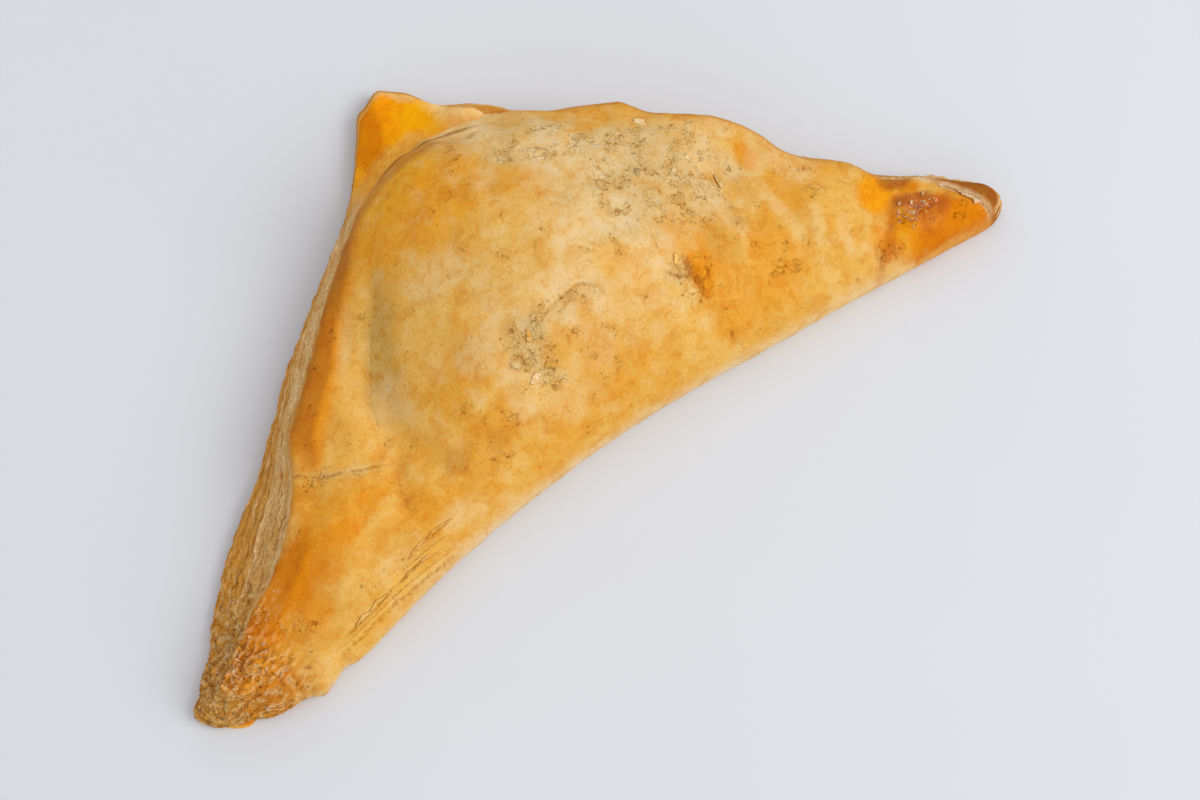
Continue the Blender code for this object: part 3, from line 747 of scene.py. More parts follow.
def bake_torn_patch(coat):
    """The torn, speckled patch, the crack beside it and the orange spot at the right."""
    coat.dab(
        ("cream", (-12, 16), (4.0, 5.5), 0.5), ("ashen", (-7.5, 20), (4, 6.5), 0.75),
        ("ashen", (4, 22.5), (6, 2), 0.4), ("amber", (-3, 17.5), (4, 2.4), 0.5),
        ("amber", (2.5, 15), (3, 3.5), 0.35), ("cream", (3, 27), (5, 3), 0.4),
        ("orange", (28.6, 16.5), (2.4, 4.2), 0.95), ("brown", (27.0, 18.0), (1.2, 2.0), 0.35),
        ("amber", (34.0, 18.5), (5.0, 5.5), 0.95), ("orange", (33.5, 17), (3.5, 4), 0.4),
        ("tan", (34.0, 20.0), (3.0, 3.0), 0.3), ("olive", (35.5, 18.5), (3.6, 5), 0.4),
        ("tan", (42, 24), (2, 2), 0.3), ("ashen", (23.5, 18), (3, 2), 0.5),
    )
    coat.stroke(
        ("brown", SPOT_CRACK, 0.7, 0.35), ("brown", SPOT_CRACK_HIGH, 0.8, 0.45), ("ashen", SEAM, 1.3, 0.5),
        # The olive stroke along the valley is painted shade at the foot of the filling's left flank
        ("tan", SEAM_TURN, 1.2, 0.5), ("olive", VALLEY, 1.6, 0.5), ("tan", ARC_CRACK, 0.45, 0.3),
    )


def bake_dark_tip(coat):
    """The curled right tip: a reddish brown blistered spot, and orange glaze that ran round it."""
    coat.dab(
        ("orange", (70, 14), (4.2, 3.6), 0.9), ("saffron", (70, 14), (4.2, 3.6), 0.4),
        ("ember", (80, 2.0), (12, 6), 1.0, -0.3), ("ember", (67, 3.5), (5, 3), 0.7, 0.6),
        ("saffron", (71, 4.5), (4, 3), 0.45, 0.9), ("orange", (84, 2), (6, 3), 0.5, -0.3),
        ("russet", (66.5, 3.6), (6.0, 1.4), 0.55, 0.75), ("russet", (77.5, 6.6), (3.8, 2.8), 0.5, -0.3),
        ("russet", (75.6, 9.2), (3.4, 1.7), 0.9, -0.35), ("dark", (74.2, 9.6), (1.6, 0.8), 0.3, -0.35),
        ("russet", (80.8, 5.6), (2.8, 2.0), 0.75, -0.5),
        ("orange", (77.2, 11.2), (2.6, 1.3), 0.9, -0.4), ("brown", (77.0, 10.6), (2.2, 1.2), 0.3, -0.4),
        ("orange", (66, 5), (3.5, 2.5), 0.35), ("brown", (75.5, 13.8), (3.2, 1.6), 0.85, -0.45),
        ("russet", (75.8, 13.4), (1.8, 0.9), 0.5, -0.45), ("milk", (82.5, 10.6), (3.5, 1.5), 0.9, -0.6),
        ("orange", (86, 0.5), (3, 3), 0.5), ("straw", (78, -2.6), (9, 1.2), 0.5),
        ("brown", (88.0, 5.8), (5.6, 3.2), 1.0, -0.95), ("brown", (91, 0.5), (2.6, 3.4), 1.0),
    )
    coat.stroke(("brown", TIP_LIP, 4.2, 1.0), ("dark", TIP_LIP, 3.4, 0.5))
    coat.dab(("dark", (78.8, 8.6), (2.0, 1.0), 0.4, -0.4))
    coat.stroke(("milk", TIP_LINE, 1.0, 1.0))


def lay_cracks(x, y):
    """For each point: distance to the nearest crack with its side, the crack's strength, its pale lip."""
    nearest = np.full(x.shape, CRACK_REACH)
    strength, lip = np.zeros(x.shape), np.zeros(x.shape)
    for path, how_strong, how_pale in CRACKS:
        away, place = side_of_path(x, y, path)
        closer = np.abs(away) < np.abs(nearest)
        nearest = np.where(closer, away, nearest)
        strength = np.where(closer, how_strong * np.clip(7 * place * (1 - place), 0, 1), strength)
        lip = np.where(closer, how_pale, lip)
    return np.stack([nearest, strength, lip], axis=-1)


def mark_crust(coat):
    """Where the crust carries dark specks, fine crackle and gloss."""
    coat.specks += 0.10
    coat.crackle += 0.18
    for centre, size, turn, specks, crackle in (
        ((33, 36), (17, 14), -0.4, 0.3, 0.85), ((16, 55), (13, 6), -0.5, 0.3, 0.8),
        ((-8.5, 18), (5, 8), 0.2, 0.9, 1.0), ((1, 22), (10, 4), 0.0, 0.1, 0.6),
        ((4, 15), (6, 7), 0.0, 0.35, 0.5), ((27, 17), (5, 5), 0.0, 0.4, 1.0),
        ((-26, 42.5), (5, 4), -0.5, 0.5, 0.4), ((-20, 12.5), (6, 5), 0.0, 0.5, 0.5),
        ((-52, 24), (5, 3), -0.2, 0.5, 0.5), ((-62, 3), (10, 4), 0.0, 0.3, 0.5),
        # At the dark tip (76, 6.5) the crackle is strong: its dark dashes are baked marks, its pale flecks
        # painted highlights on the glossy blisters
        ((3, 58), (6, 5), 0.0, 0.45, 0.5), ((76, 6.5), (5.5, 3.5), -0.3, 0.4, 0.8),
        ((82, 2.5), (9, 4), -0.3, 0.4, 0.55), ((66, 3), (5, 3), 0.5, 0.2, 0.8),
        ((45, 12), (8, 5), 0.8, 0.2, 0.5), ((60, 20), (6, 5), 0.0, 0.2, 0.5),
    ):
        spot = coat.spot(centre, size, turn)
        coat.specks = np.maximum(coat.specks, specks * spot)
        coat.crackle = np.maximum(coat.crackle, crackle * spot)
    coat.gloss += 0.02 + 0.3 * coat.spot((76, 6), (5, 3.5), -0.3)


def paint_rims(coat, slope, away, top):
    """The browned rims of the two cut edges, and the strong brown strip along the left one."""
    x, ragged = coat.x, coat.ragged
    left = ease(-14, -24, x) * top
    right = ease(10, 20, x) * ease(84, 74, x) * slope * top
    rim = away + 2.2 * ragged
    coat.lay("amber", 0.5 * left * slope * ease(10.0, 5.0, rim) * ease(-62, -50, x))
    inside = side_of_path(x, coat.y, RIM_STRIP)[0] + 1.5 * ragged
    past_strip = inside - (2.7 + 1.5 * ease(-28, -42, x))
    past_wrinkle = ease(-56, -62, x)
    browned = 1 - 0.8 * ease(-50, -54, x) * ease(-61, -57, x)
    coat.lay("orange", 0.75 * left * browned * ease(3.0, -1.0, past_strip))
    browned *= left * ease(0.9, -1.2, past_strip) * ease(-1.4, 0.2, inside)
    coat.lay("brown", 0.92 * browned * (1 - past_wrinkle))
    coat.lay("rust", 0.9 * browned * past_wrinkle)
    coat.lay("brown", 0.5 * browned * past_wrinkle)
    coat.lay("tan", 0.6 * left * ease(0.4, -0.8, inside))
    coat.dab(("straw", (-53.0, 24.0), (3, 1.6), 0.4, -0.3), ("tan", (-52.5, 27.5), (2.0, 2.6), 0.5, -0.6))
    coat.stroke(("brown", ARC_BROWNING, 2.3, 0.6), ("straw", BELOW_SEAM, 2.4, 0.5))
    coat.dab(("amber", (-55.5, 20.0), (3.0, 3.5), 0.6, -0.3))
    coat.lay("tan", 0.35 * right * ease(4.0, 1.0, rim))
    coat.lay("brown", 0.5 * right * ease(1.5, 0.3, rim))


def paint_fold(coat, fold, z):
    """The folded edge: paler than the top, and palest low down."""
    x = coat.x
    lower = ease(-40, -60, x)
    coat.lay("fold", 0.85 * fold * ease(11.5 - 4.5 * lower, 3.5 - 1.0 * lower, z + 2.5 * coat.ragged))
    low = fold * ease(10.0, 3.0, z) * ease(-55, -25, x)
    coat.lay("cream", 0.8 * low * ease(85, 45, x))
    coat.lay("milk", 0.95 * low * ease(12.5, 5.5, z) * ease(50, 20, x))
    coat.lay("milk", 0.8 * fold * ease(5.0, 2.5, z) * ease(-50, -58, x) * ease(-78, -70, x))


def paint_bared_corner(coat, ledge, wall, v, reach):
    """The bared corner of the lower sheet, deep orange, and the pale step of the upper sheet, lightened
    with painted light where it lies in shade.
    """
    x, ragged = coat.x, coat.ragged
    flap = ledge * wall * ease(0.36, 0.42, v)
    coat.lay("glaze", flap)
    coat.lay("saffron", 0.6 * flap * ease(9.0, 6.0, reach + 2 * ragged))
    coat.lay("straw", 0.55 * flap * ease(5.6, 4.2, reach + ragged))
    coat.dab(("saffron", (5, 79), (3.5, 6), 0.7, 0.5), within=flap)
    # Saffron and bright towards the right of the flap: its paler egg wash, lightened further as painted
    # light where the upper sheet's step shades it
    coat.lay("saffron", 0.7 * flap * ease(3.0, 7.0, x + 3 * ragged))
    coat.lay("bright", 0.9 * flap * ease(6.5, 11.0, x + 3 * ragged))
    coat.dab(
        ("rust", (-6.6, 79.3), (3.0, 8), 0.85, -0.6), ("rust", (-3.8, 83.4), (2.2, 2.8), 0.8, -0.5),
        ("cream", (2.5, 87.4), (4.0, 1.3), 0.5), ("cream", (5.0, 84.0), (3.5, 1.2), 0.6, -0.85),
        ("tan", (13.4, 75.0), (4.6, 1.5), 0.85, -0.8), ("straw", (3.0, 71.5), (4.0, 1.0), 0.5, -0.2),
        within=flap,
    )
    arc = ledge * ease(6.5, 2.0, x)
    coat.lay("brown", 0.7 * arc * wall * ease(0.93, 0.99, v))
    coat.lay("tan", 0.8 * arc * (1 - wall) * ease(1.8, 0.4, reach + ragged))
    coat.lay("cream", 0.8 * (ledge - arc) * (1 - wall) * ease(3.0, 1.0, reach))
    # The bright dabs lighten the steep step of the upper sheet at the arc: painted light where it lies in
    # shade
    coat.dab(
        ("bright", (6.5, 68.0), (6.0, 3.8), 0.9, -0.5), ("bright", (13.0, 66.5), (4.5, 2.2), 0.5, -0.6),
        ("amber", (18.8, 66.6), (2.4, 1.8), 0.7),
    )
    coat.stroke(("brown", SHEET_EDGE, 1.0, 0.75))
    coat.specks *= 1 - 0.9 * flap
    coat.crackle *= 1 - 0.9 * flap


def paint_cut_edge(coat, cut, v):
    """Bare layers of dough, brown where the oven reached them first: under the rim and at the base. Below
    the rim they are greyed as painted shade.
    """
    x, ragged = coat.x, coat.ragged
    wavering = v + 0.1 * ragged
    ridge = ease(0.12, 0.03, np.abs(v - 0.68 - 0.2 * ragged))
    coat.lay("dough", cut)
    # Painted shade under the rim: the upper layers greyed
    coat.lay("dough_grey", 0.7 * cut * ease(0.5, 0.62, wavering))
    coat.lay("tan", 0.5 * cut * ease(0.72, 0.55, v + 0.3 * ragged))
    coat.lay("dough_light", 0.55 * cut * ridge * (1 - 0.5 * ease(-62, -70, x)))
    coat.lay("dough_light", 0.3 * cut * ease(-54, -38, x) * ease(0.4, 0.6, v))
    coat.lay("dough_light", 0.6 * cut * ease(0.84, 0.95, v) * ease(-50, -60, x))
    coat.lay("tan", 0.55 * cut * ease(0.86, 1.0, wavering) * ease(-62, -50, x))
    coat.lay("tan", 0.6 * cut * ease(-44, -58, x) * ease(0.9, 0.45, wavering))
    coat.lay("tan", 0.85 * cut * ease(0.42, 0.18, v + 0.25 * ragged))
    coat.lay("brown", 0.75 * cut * ease(0.36, 0.08, v + 0.2 * ragged) * ease(-88, -78, x))
    coat.lay("amber", 0.55 * cut * ease(-66, -82, x))
    coat.specks *= 1 - 0.6 * cut
    coat.crackle *= 1 - 0.8 * cut
    coat.gloss *= 1 - cut


def paint_broken_end(coat, top):
    """The broken left end: worn, rusty brown crust with pale crumbs."""
    x = coat.x
    worn = ease(-66, -82, x + 5 * coat.ragged)
    coat.lay("tan", 0.35 * worn * top)
    coat.lay("orange", 0.6 * worn * ease(0.0, 0.5, coat.ragged + 0.15))
    coat.dab(("rust", (-79, -3.5), (4.5, 3.6), 0.65))
    coat.lay("straw", 0.35 * ease(-85, -90, x))
    crumbs = crumbly(x, coat.y)
    coat.lay("cream", 0.6 * worn * ease(0.04, 0.3, crumbs))
    coat.lay("brown", 0.65 * worn * ease(0.05, 0.32, -crumbs))
    coat.dab(("rust", (-76, 4.5), (4.5, 2.6), 0.45, 0.4), within=top)
    coat.specks = np.maximum(coat.specks, 0.5 * worn)
    coat.crackle = np.maximum(coat.crackle, 1.05 * worn)


def paint_skin(tones, skin):
    """What every point of the skin's rings carries: its tone, marks, cut layers and cracks."""
    x, y, z = np.moveaxis(skin.rings, -1, 0)
    ledge, slope, fold = (np.tile(style, (len(x), 1)) for style in skin.edge.styles.T)
    wall, v, layer = np.zeros_like(x), np.ones_like(x), np.zeros_like(x)
    wall[:WALL_ROWS] = 1
    v[:WALL_ROWS] = np.linspace(0, 1, WALL_ROWS)[:, None]
    layer[:WALL_ROWS] = skin.layer
    reach = np.hypot(x - skin.edge.rim[:, 0], y - skin.edge.rim[:, 1])
    coat = Coat(tones, x, y, "gold")
    clouds, drift = fbm(x, y, 71.0, 9.0, 4), fbm(x, y, 83.0, 3.6, 4)
    coat.lay("straw", 0.7 * ease(0.0, 0.4, clouds))
    coat.lay("amber", 0.45 * ease(0.05, 0.45, -clouds))
    bake_filling(coat)
    coat.lay("cream", 0.25 * ease(0.1, 0.6, drift))
    coat.lay("amber", 0.25 * ease(0.1, 0.6, -drift))
    bake_wings(coat)
    bake_torn_patch(coat)
    mark_crust(coat)
    paint_rims(coat, slope, reach * (1 - wall), 1 - wall)
    paint_fold(coat, fold, z)
    bake_dark_tip(coat)
    paint_bared_corner(coat, ledge, wall, v, reach)
    cut = wall * np.clip(slope + ledge * ease(0.4, 0.34, v), 0, 1)
    cut *= ease(86, 78, x)
    cut *= 1 - 0.6 * ease(-78, -86, x + 4 * coat.ragged)
    paint_cut_edge(coat, cut, v)
    paint_broken_end(coat, 1 - cut)
    cracks = lay_cracks(x, y)
    cracks[..., 1] *= 1 - cut
    return {
        "tone": coat.colour,
        "marks": np.dstack([coat.specks, coat.crackle, coat.gloss]),
        "cut_layers": np.dstack([np.tile(skin.along, (len(x), 1)), layer, cut]),
        "cracks": cracks,
    }


# ---------------------------------------------------------------- meshes


def add_attributes(mesh, **values):
    """Stores what the materials read at each point: tones and marks as colours, the rest as vectors."""
    for name, rows in values.items():
        rows = np.reshape(rows, (-1, 3))
        kind, field = "FLOAT_VECTOR", "vector"
        if name in ("tone", "marks"):
            kind, field = "FLOAT_COLOR", "color"
            rows = np.c_[rows, np.ones(len(rows))]
        mesh.attributes.new(name, kind, "POINT").data.foreach_set(field, rows.astype(np.float32).ravel())


def finish_piece(mesh, material):
    """Puts a mesh in the scene as a piece of the pastry that rides on its body."""
    if not mesh.polygons:
        raise RuntimeError(f"{mesh.name} has no faces")
    piece = bpy.data.objects.new(mesh.name, mesh)
    bpy.context.scene.collection.objects.link(piece)
    mesh.materials.append(material)
    mesh.shade_smooth()
    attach(piece, BODY)
    return piece


def ring_faces(rings, columns):
    """Quads between closed rings of points."""
    low = np.arange(rings - 1)[:, None] * columns + np.arange(columns)[None, :]
    turn = np.roll(low, -1, axis=1)
    return np.stack([low, turn, turn + columns, low + columns], axis=-1).reshape(-1, 4)


def weld_and_turn_out(mesh):
    """Welds the points that meet on the spine and turns all faces outwards."""
    bm = bmesh.new()
    bm.from_mesh(mesh)
    bmesh.ops.remove_doubles(bm, verts=bm.verts, dist=WELD_REACH * MM)
    bmesh.ops.dissolve_degenerate(bm, edges=bm.edges, dist=WELD_REACH * MM)
    bmesh.ops.recalc_face_normals(bm, faces=bm.faces)
    bm.to_mesh(mesh)
    bm.free()


def placed(points, offset):
    """Points of the pastry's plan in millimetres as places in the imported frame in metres."""
    return (np.asarray(points) + offset) * MM


def make_crust_mesh(shape, tones):
    """The whole skin: the painted rings, and plain ones that close the underside."""
    skin = make_skin(shape)
    outer = skin.rings[0]
    spine = spine_of(shape, outer)
    under = [
        np.column_stack([between(spine, outer[:, :2], share), np.zeros(len(outer))])
        for share in UNDERSIDE_SHARES
    ]
    rings = np.concatenate([under, skin.rings])
    plain = {
        "tone": tones["underside"],
        "marks": (0.25, 0.2, 0.1),
        "cut_layers": (0, 0, 0),
        "cracks": (CRACK_REACH, 0, 0),
    }
    painted = paint_skin(tones, skin)
    blank = np.zeros(np.shape(under))
    mesh = bpy.data.meshes.new("baked_crust")
    faces = ring_faces(len(rings), len(outer))
    mesh.from_pydata(placed(rings.reshape(-1, 3), skin.offset).tolist(), [], faces.tolist())
    add_attributes(mesh, **{name: np.concatenate([blank + plain[name], painted[name]]) for name in plain})
    weld_and_turn_out(mesh)
    return mesh


class Ground:
    """The finished skin as something to lay flakes on."""

    def __init__(self, shape, tones):
        self.skin = make_skin(shape)
        rings = self.skin.rings
        self.faces = ring_faces(*rings.shape[:2])
        self.tree = BVHTree.FromPolygons(rings.reshape(-1, 3).tolist(), self.faces.tolist())
        self.colour = paint_skin(tones, self.skin)["tone"].reshape(-1, 3)

    def under(self, start, way, reach):
        """Where a line from start along way meets the skin: place, normal and colour there."""
        hit, normal, face, _ = self.tree.ray_cast(Vector(start), Vector(way), reach)
        if hit is None:
            return None
        if normal.dot(Vector(way)) > 0:
            normal = -normal
        return np.array(hit), np.array(normal), self.colour[self.faces[face][0]]

    def above(self, x, y):
        """Where a line straight down meets the skin."""
        return self.under((x, y, DROP_HEIGHT), (0, 0, -1), DROP_HEIGHT)


class SheetPile:
    """Thin closed sheets gathered into one mesh."""

    def __init__(self):
        self.points, self.faces, self.values = [], [], []
        self.count = 0

    def add(self, upper, lower, **values):
        """One sheet from two grids of points, its upper and lower faces, closed round the edge."""
        rows, columns = upper.shape[:2]
        size = rows * columns
        index = np.arange(size).reshape(rows, columns) + self.count
        quads = np.stack([index[:-1, :-1], index[:-1, 1:], index[1:, 1:], index[1:, :-1]], axis=-1)
        quads = quads.reshape(-1, 4)
        rim = np.concatenate([index[0, :-1], index[:-1, -1], index[-1, :0:-1], index[:0:-1, 0]])
        turn = np.roll(rim, -1)
        self.points += [upper.reshape(-1, 3), lower.reshape(-1, 3)]
        self.faces += [quads, quads[:, ::-1] + size, np.column_stack([turn, rim, rim + size, turn + size])]
        self.values += [values, values]
        self.count += 2 * size

    def mesh(self, name, offset):
        """All sheets as one mesh, with what they carry."""
        made = bpy.data.meshes.new(name)
        points = placed(np.concatenate(self.points), offset)
        made.from_pydata(points.tolist(), [], np.concatenate(self.faces).tolist())
        for key in self.values[0]:
            rows = [sheet[key].reshape(-1, 3) for sheet in self.values]
            add_attributes(made, **{key: np.concatenate(rows)})
        return made


def leaf_sheet(pile, skin, tones, rng, layers, reach, thickness):
    """One long thin leaf that stands out of the cut edge between two layers."""
    level = rng.uniform(0.08, 0.93)
    length = int(rng.uniform(14, 95))
    index = (int(rng.integers(len(skin.along))) + np.arange(length)) % len(skin.along)
    flare = skin.edge.flare[index]
    t = np.linspace(0, 1, length)
    s = skin.along[index]
    seed = rng.uniform(0, 90)
    row = (level + 0.02 * fbm(s, seed, 1.0, 14.0, 2)) * (WALL_ROWS - 1)
    low = np.clip(row.astype(int), 0, WALL_ROWS - 2)
    share = np.clip(row - low, 0, 1)[:, None]
    on_wall = skin.rings[low, index] * (1 - share) + skin.rings[low + 1, index] * share
    out = np.column_stack([unit(skin.edge.base[index] - skin.edge.rim[index]), np.zeros(length)])
    ragged = 0.55 + 0.5 * fbm(s, seed, 3.0, 3.5, 3) + 0.25 * fbm(s, seed, 9.0, 0.9, 2)
    ends = np.clip(6 * t * (1 - t), 0, 1) ** 0.6
    bared = skin.edge.styles[index, 0] * ease(0.2, 0.32, level)
    stand = reach * np.clip(ragged, 0.05, 1.4) * ends * ease(0.15, 0.5, flare) * (1 - bared)
    stand *= 0.4 + 0.6 * ease(0.15, 0.45, level)  # shorter low on the wall
    stand -= 0.8 * (1 - ease(0.1, 0.3, flare)) + 0.8 * bared  # none on the fold and the bared corner
    stand -= 1.0 * ease(-80, -87, skin.edge.base[index, 0])  # none on the crumbled end
    on_wall[:, 2] -= 1.2 * ease(0.0, 0.3, bared)
    droop = 0.35 * fbm(s, seed, 17.0, 6.0, 2)
    grid = []
    for q in (0.0, 0.5, 1.0):
        outward = between(LEAF_ROOT, stand, q)[:, None]
        rise = (droop * q * stand)[:, None]
        grid.append(on_wall + out * outward + UP * rise)
    grid = np.array(grid)
    half = 0.5 * thickness * np.array([1.0, 0.9, 0.45])[:, None, None] * UP
    tone = between(tones["dough"], tones["dough_light"], rng.uniform(0.2, 1.0))
    tone = between(tone, tones["tan"], max(ease(0.8, 1.0, level), ease(0.55, 0.15, level)) * 0.85)
    # Darker at the root inside the cut edge, lighter at the free edge: painted shade and light across each
    # leaf
    shades = np.tile(tone, (3, length, 1)) * np.array([0.75, 0.95, 1.05])[:, None, None]
    place = np.ones((3, length, 3)) * (0, level * layers, 0.6)
    place[..., 0] = s
    pile.add(grid + half, grid - half, tone=shades, cut_layers=place)


def flake_sheet(pile, ground, rng, met, tone, size, turn, lift, thickness):
    """One small curled flake where it met the skin, fast along one side."""
    centre, normal = met[0], met[1] / np.linalg.norm(met[1])
    first = np.array([math.cos(turn), math.sin(turn), 0.0])
    first -= normal * first.dot(normal)
    first /= np.linalg.norm(first)
    second = np.cross(normal, first)
    u, w = np.meshgrid(np.linspace(-1, 1, 7), np.linspace(-1, 1, 5), indexing="ij")
    pinch = np.sqrt(np.clip(1.12 - 0.75 * u**2, 0.08, 1))
    jitter = rng.normal(0, 0.11, (2,) + u.shape)
    bend = rng.normal(0, 0.25)
    a = size[0] * (u + jitter[0])
    b = size[1] * (w * pinch + jitter[1] + bend * u**2)
    rise = lift * (0.5 * (w + 1)) ** 1.6 * (1 + 0.4 * rng.normal()) + 0.12 * rng.normal(size=u.shape)
    upper = np.empty(u.shape + (3,))
    for i, j in np.ndindex(u.shape):
        over = centre + first * a[i, j] + second * b[i, j]
        below = ground.under(over + normal * 5, -normal, 9.0)
        rest = below[0] if below else over
        upper[i, j] = rest + normal * (rise[i, j] + 0.06)
    shades = np.clip(tone * rng.uniform(0.8, 1.12), 0, 1) * np.ones(u.shape + (1,))
    pile.add(upper, upper - normal * thickness, tone=shades)


def traced(path, steps):
    """A smooth line along a path: its shares of the way, its points, and the direction to its right."""
    place = np.linspace(0, 1, steps * len(path))
    line = np.column_stack([curve_through(part, place) for part in zip(*path)])
    way = unit(np.gradient(line[:, :2], axis=0))
    return place, line, np.column_stack([way[:, 1], -way[:, 0]])


def strip_sheet(pile, ground, rng, path, width, lift, tone):
    """A long narrow skin along a path of the plan: fast on its left side, lifted on its right."""
    place, line, right = traced(path, 22)
    ends = np.clip(5 * place * (1 - place), 0, 1) ** 0.7
    ragged = 0.6 + 1.4 * fbm(*line.T, 90.0 * rng.random(), 2.2, 3)
    grid = []
    for q in (0.0, 0.5, 1.0):
        side = line + right * (width * q * ends * np.clip(ragged, 0.12, 1.5))[:, None]
        heights = []
        for point in side:
            met = ground.above(*point)
            heights.append(met[0][2] if met else 0.0)
        rise = np.array(heights) + lift * ends * q**1.5 + 0.05
        grid.append(np.column_stack([side, rise]))
    grid = np.array(grid)
    # Darker on the side fast to the crust, lighter at the lifted edge: painted shade and light across the
    # strip
    shades = np.tile(tone, (3, len(place), 1)) * np.array([0.85, 1.0, 1.05])[:, None, None]
    pile.add(grid + STRIP_THICKNESS * UP, grid, tone=shades)


def bowed_sheet(pile, path, width, sag, top, edge):
    """A pointed flake along a path of places: bowed across, with one tone on top and one at its edge."""
    place, line, right = traced(path, 14)
    across = np.column_stack([right, np.zeros(len(place))])
    half = 0.5 * width * np.clip(4 * place * (1 - place), 0, 1) ** 0.6
    half *= 1 + 0.25 * fbm(line[:, 0], line[:, 1], 3.0, 2.0, 2)
    turns = np.linspace(-1, 1, 5)
    grid = np.array([line + across * (half * q)[:, None] - sag * q * q * UP for q in turns])
    shades = np.array([between(edge, top, 1 - abs(q) ** 3) for q in turns])
    shades = np.repeat(shades[:, None, :], len(place), axis=1)
    pile.add(grid, grid - BOWED_THICKNESS * UP, tone=shades)


# ---------------------------------------------------------------- node trees

COLOUR, VALUE, VECTOR = "NodeSocketColor", "NodeSocketFloat", "NodeSocketVector"


class Wiring:
    """A node tree, with short ways to add to it."""

    def __init__(self, tree):
        self.tree = tree

    def join(self, value, socket):
        """Links a socket to another one, or sets its value."""
        if isinstance(value, bpy.types.NodeSocket):
            self.tree.links.new(value, socket)
        else:
            socket.default_value = value

    def feed(self, sockets, values):
        """Joins several values to sockets, by name."""
        for label, value in values.items():
            self.join(value, sockets[label])

    def add(self, kind, settings=None, **inputs):
        """A new node, with its settings and with its inputs by name."""
        made = self.tree.nodes.new(f"ShaderNode{kind}")
        for key, value in (settings or {}).items():
            setattr(made, key, value)
        self.feed(made.inputs, {key.replace("_", " ").title(): value for key, value in inputs.items()})
        return made

    def calc(self, operation, *values, clamp=False):
        """One step of arithmetic."""
        made = self.add("Math", {"operation": operation, "use_clamp": clamp})
        for socket, value in zip(made.inputs, values):
            self.join(value, socket)
        return made.outputs[0]

    def times(self, first, second):
        return self.calc("MULTIPLY", first, second)

    def plus(self, first, second, clamp=False):
        return self.calc("ADD", first, second, clamp=clamp)

    def minus(self, first, second, clamp=False):
        return self.calc("SUBTRACT", first, second, clamp=clamp)

    def blend(self, share, first, second, kind="MIX"):
        """Two colours mixed by a share of 0 to 1."""
        made = self.add("Mix", {"data_type": "RGBA", "blend_type": kind})
        for index, value in ((0, share), (6, first), (7, second)):
            self.join(value, made.inputs[index])
        return made.outputs[2]

    def tint(self, share, colour, *factors):
        """A colour whose red, green and blue are multiplied by factors, by a share of 0 to 1."""
        return self.blend(share, colour, (*factors, 1), "MULTIPLY")

    def step(self, value, low, high, least=0.0, most=1.0):
        """A value eased from least to most as it goes from low to high."""
        reach = {"from_min": low, "from_max": high, "to_min": least, "to_max": most}
        return self.add("MapRange", {"interpolation_type": "SMOOTHSTEP"}, value=value, **reach).outputs[0]

    def noise(self, where, size, detail=3.0, roughness=0.55, distortion=0.0):
        """Noise whose lumps are about size millimetres across."""
        look = {"detail": detail, "roughness": roughness, "distortion": distortion}
        return self.add("TexNoise", vector=where, scale=1 / size, **look).outputs["Fac"]

    def place(self, size=None):
        """Place on the piece in millimetres, or in steps of a size given by a socket."""
        where = self.add("TexCoord").outputs["Object"]
        where = self.add("VectorMath", {"operation": "SCALE"}, vector=where, scale=1 / MM).outputs[0]
        if size is None:
            return where
        made = self.add("VectorMath", {"operation": "DIVIDE"}, vector=where)
        self.join(size, made.inputs[1])
        return made.outputs[0]

    def parts(self, vector):
        """The three parts of a vector."""
        return self.add("SeparateXYZ", vector=vector).outputs

    def stored(self, name, output="Color"):
        """What the mesh stores at each point under that name."""
        return self.add("Attribute", {"attribute_name": name}).outputs[output]

    def effect(self, name, **inputs):
        """Places an effect's node group, with its inputs by name."""
        return self.add("Group", {"node_tree": effects()[name]}, **inputs).outputs

    def bump(self, height, distance, **inputs):
        """A normal for a height of 0 to 1 over that many millimetres."""
        return self.add("Bump", height=height, distance=distance * MM, strength=1.0, **inputs).outputs[0]


def new_effect(name, takes, gives):
    """A shader node group: its wiring, the sockets that it is given, and those that it puts out."""
    group = bpy.data.node_groups.new(name, "ShaderNodeTree")
    for label, (kind, value) in takes.items():
        group.interface.new_socket(label, in_out="INPUT", socket_type=kind).default_value = value
    for label, kind in gives.items():
        group.interface.new_socket(label, in_out="OUTPUT", socket_type=kind)
    start, end = group.nodes.new("NodeGroupInput"), group.nodes.new("NodeGroupOutput")
    return Wiring(group), start.outputs, end.inputs


def new_material(name):
    """A material, its wiring, and the sockets of its Principled shader."""
    material = bpy.data.materials.new(name)
    material.use_nodes = True
    return material, Wiring(material.node_tree), material.node_tree.nodes["Principled BSDF"].inputs


# ---------------------------------------------------------------- effects of baking


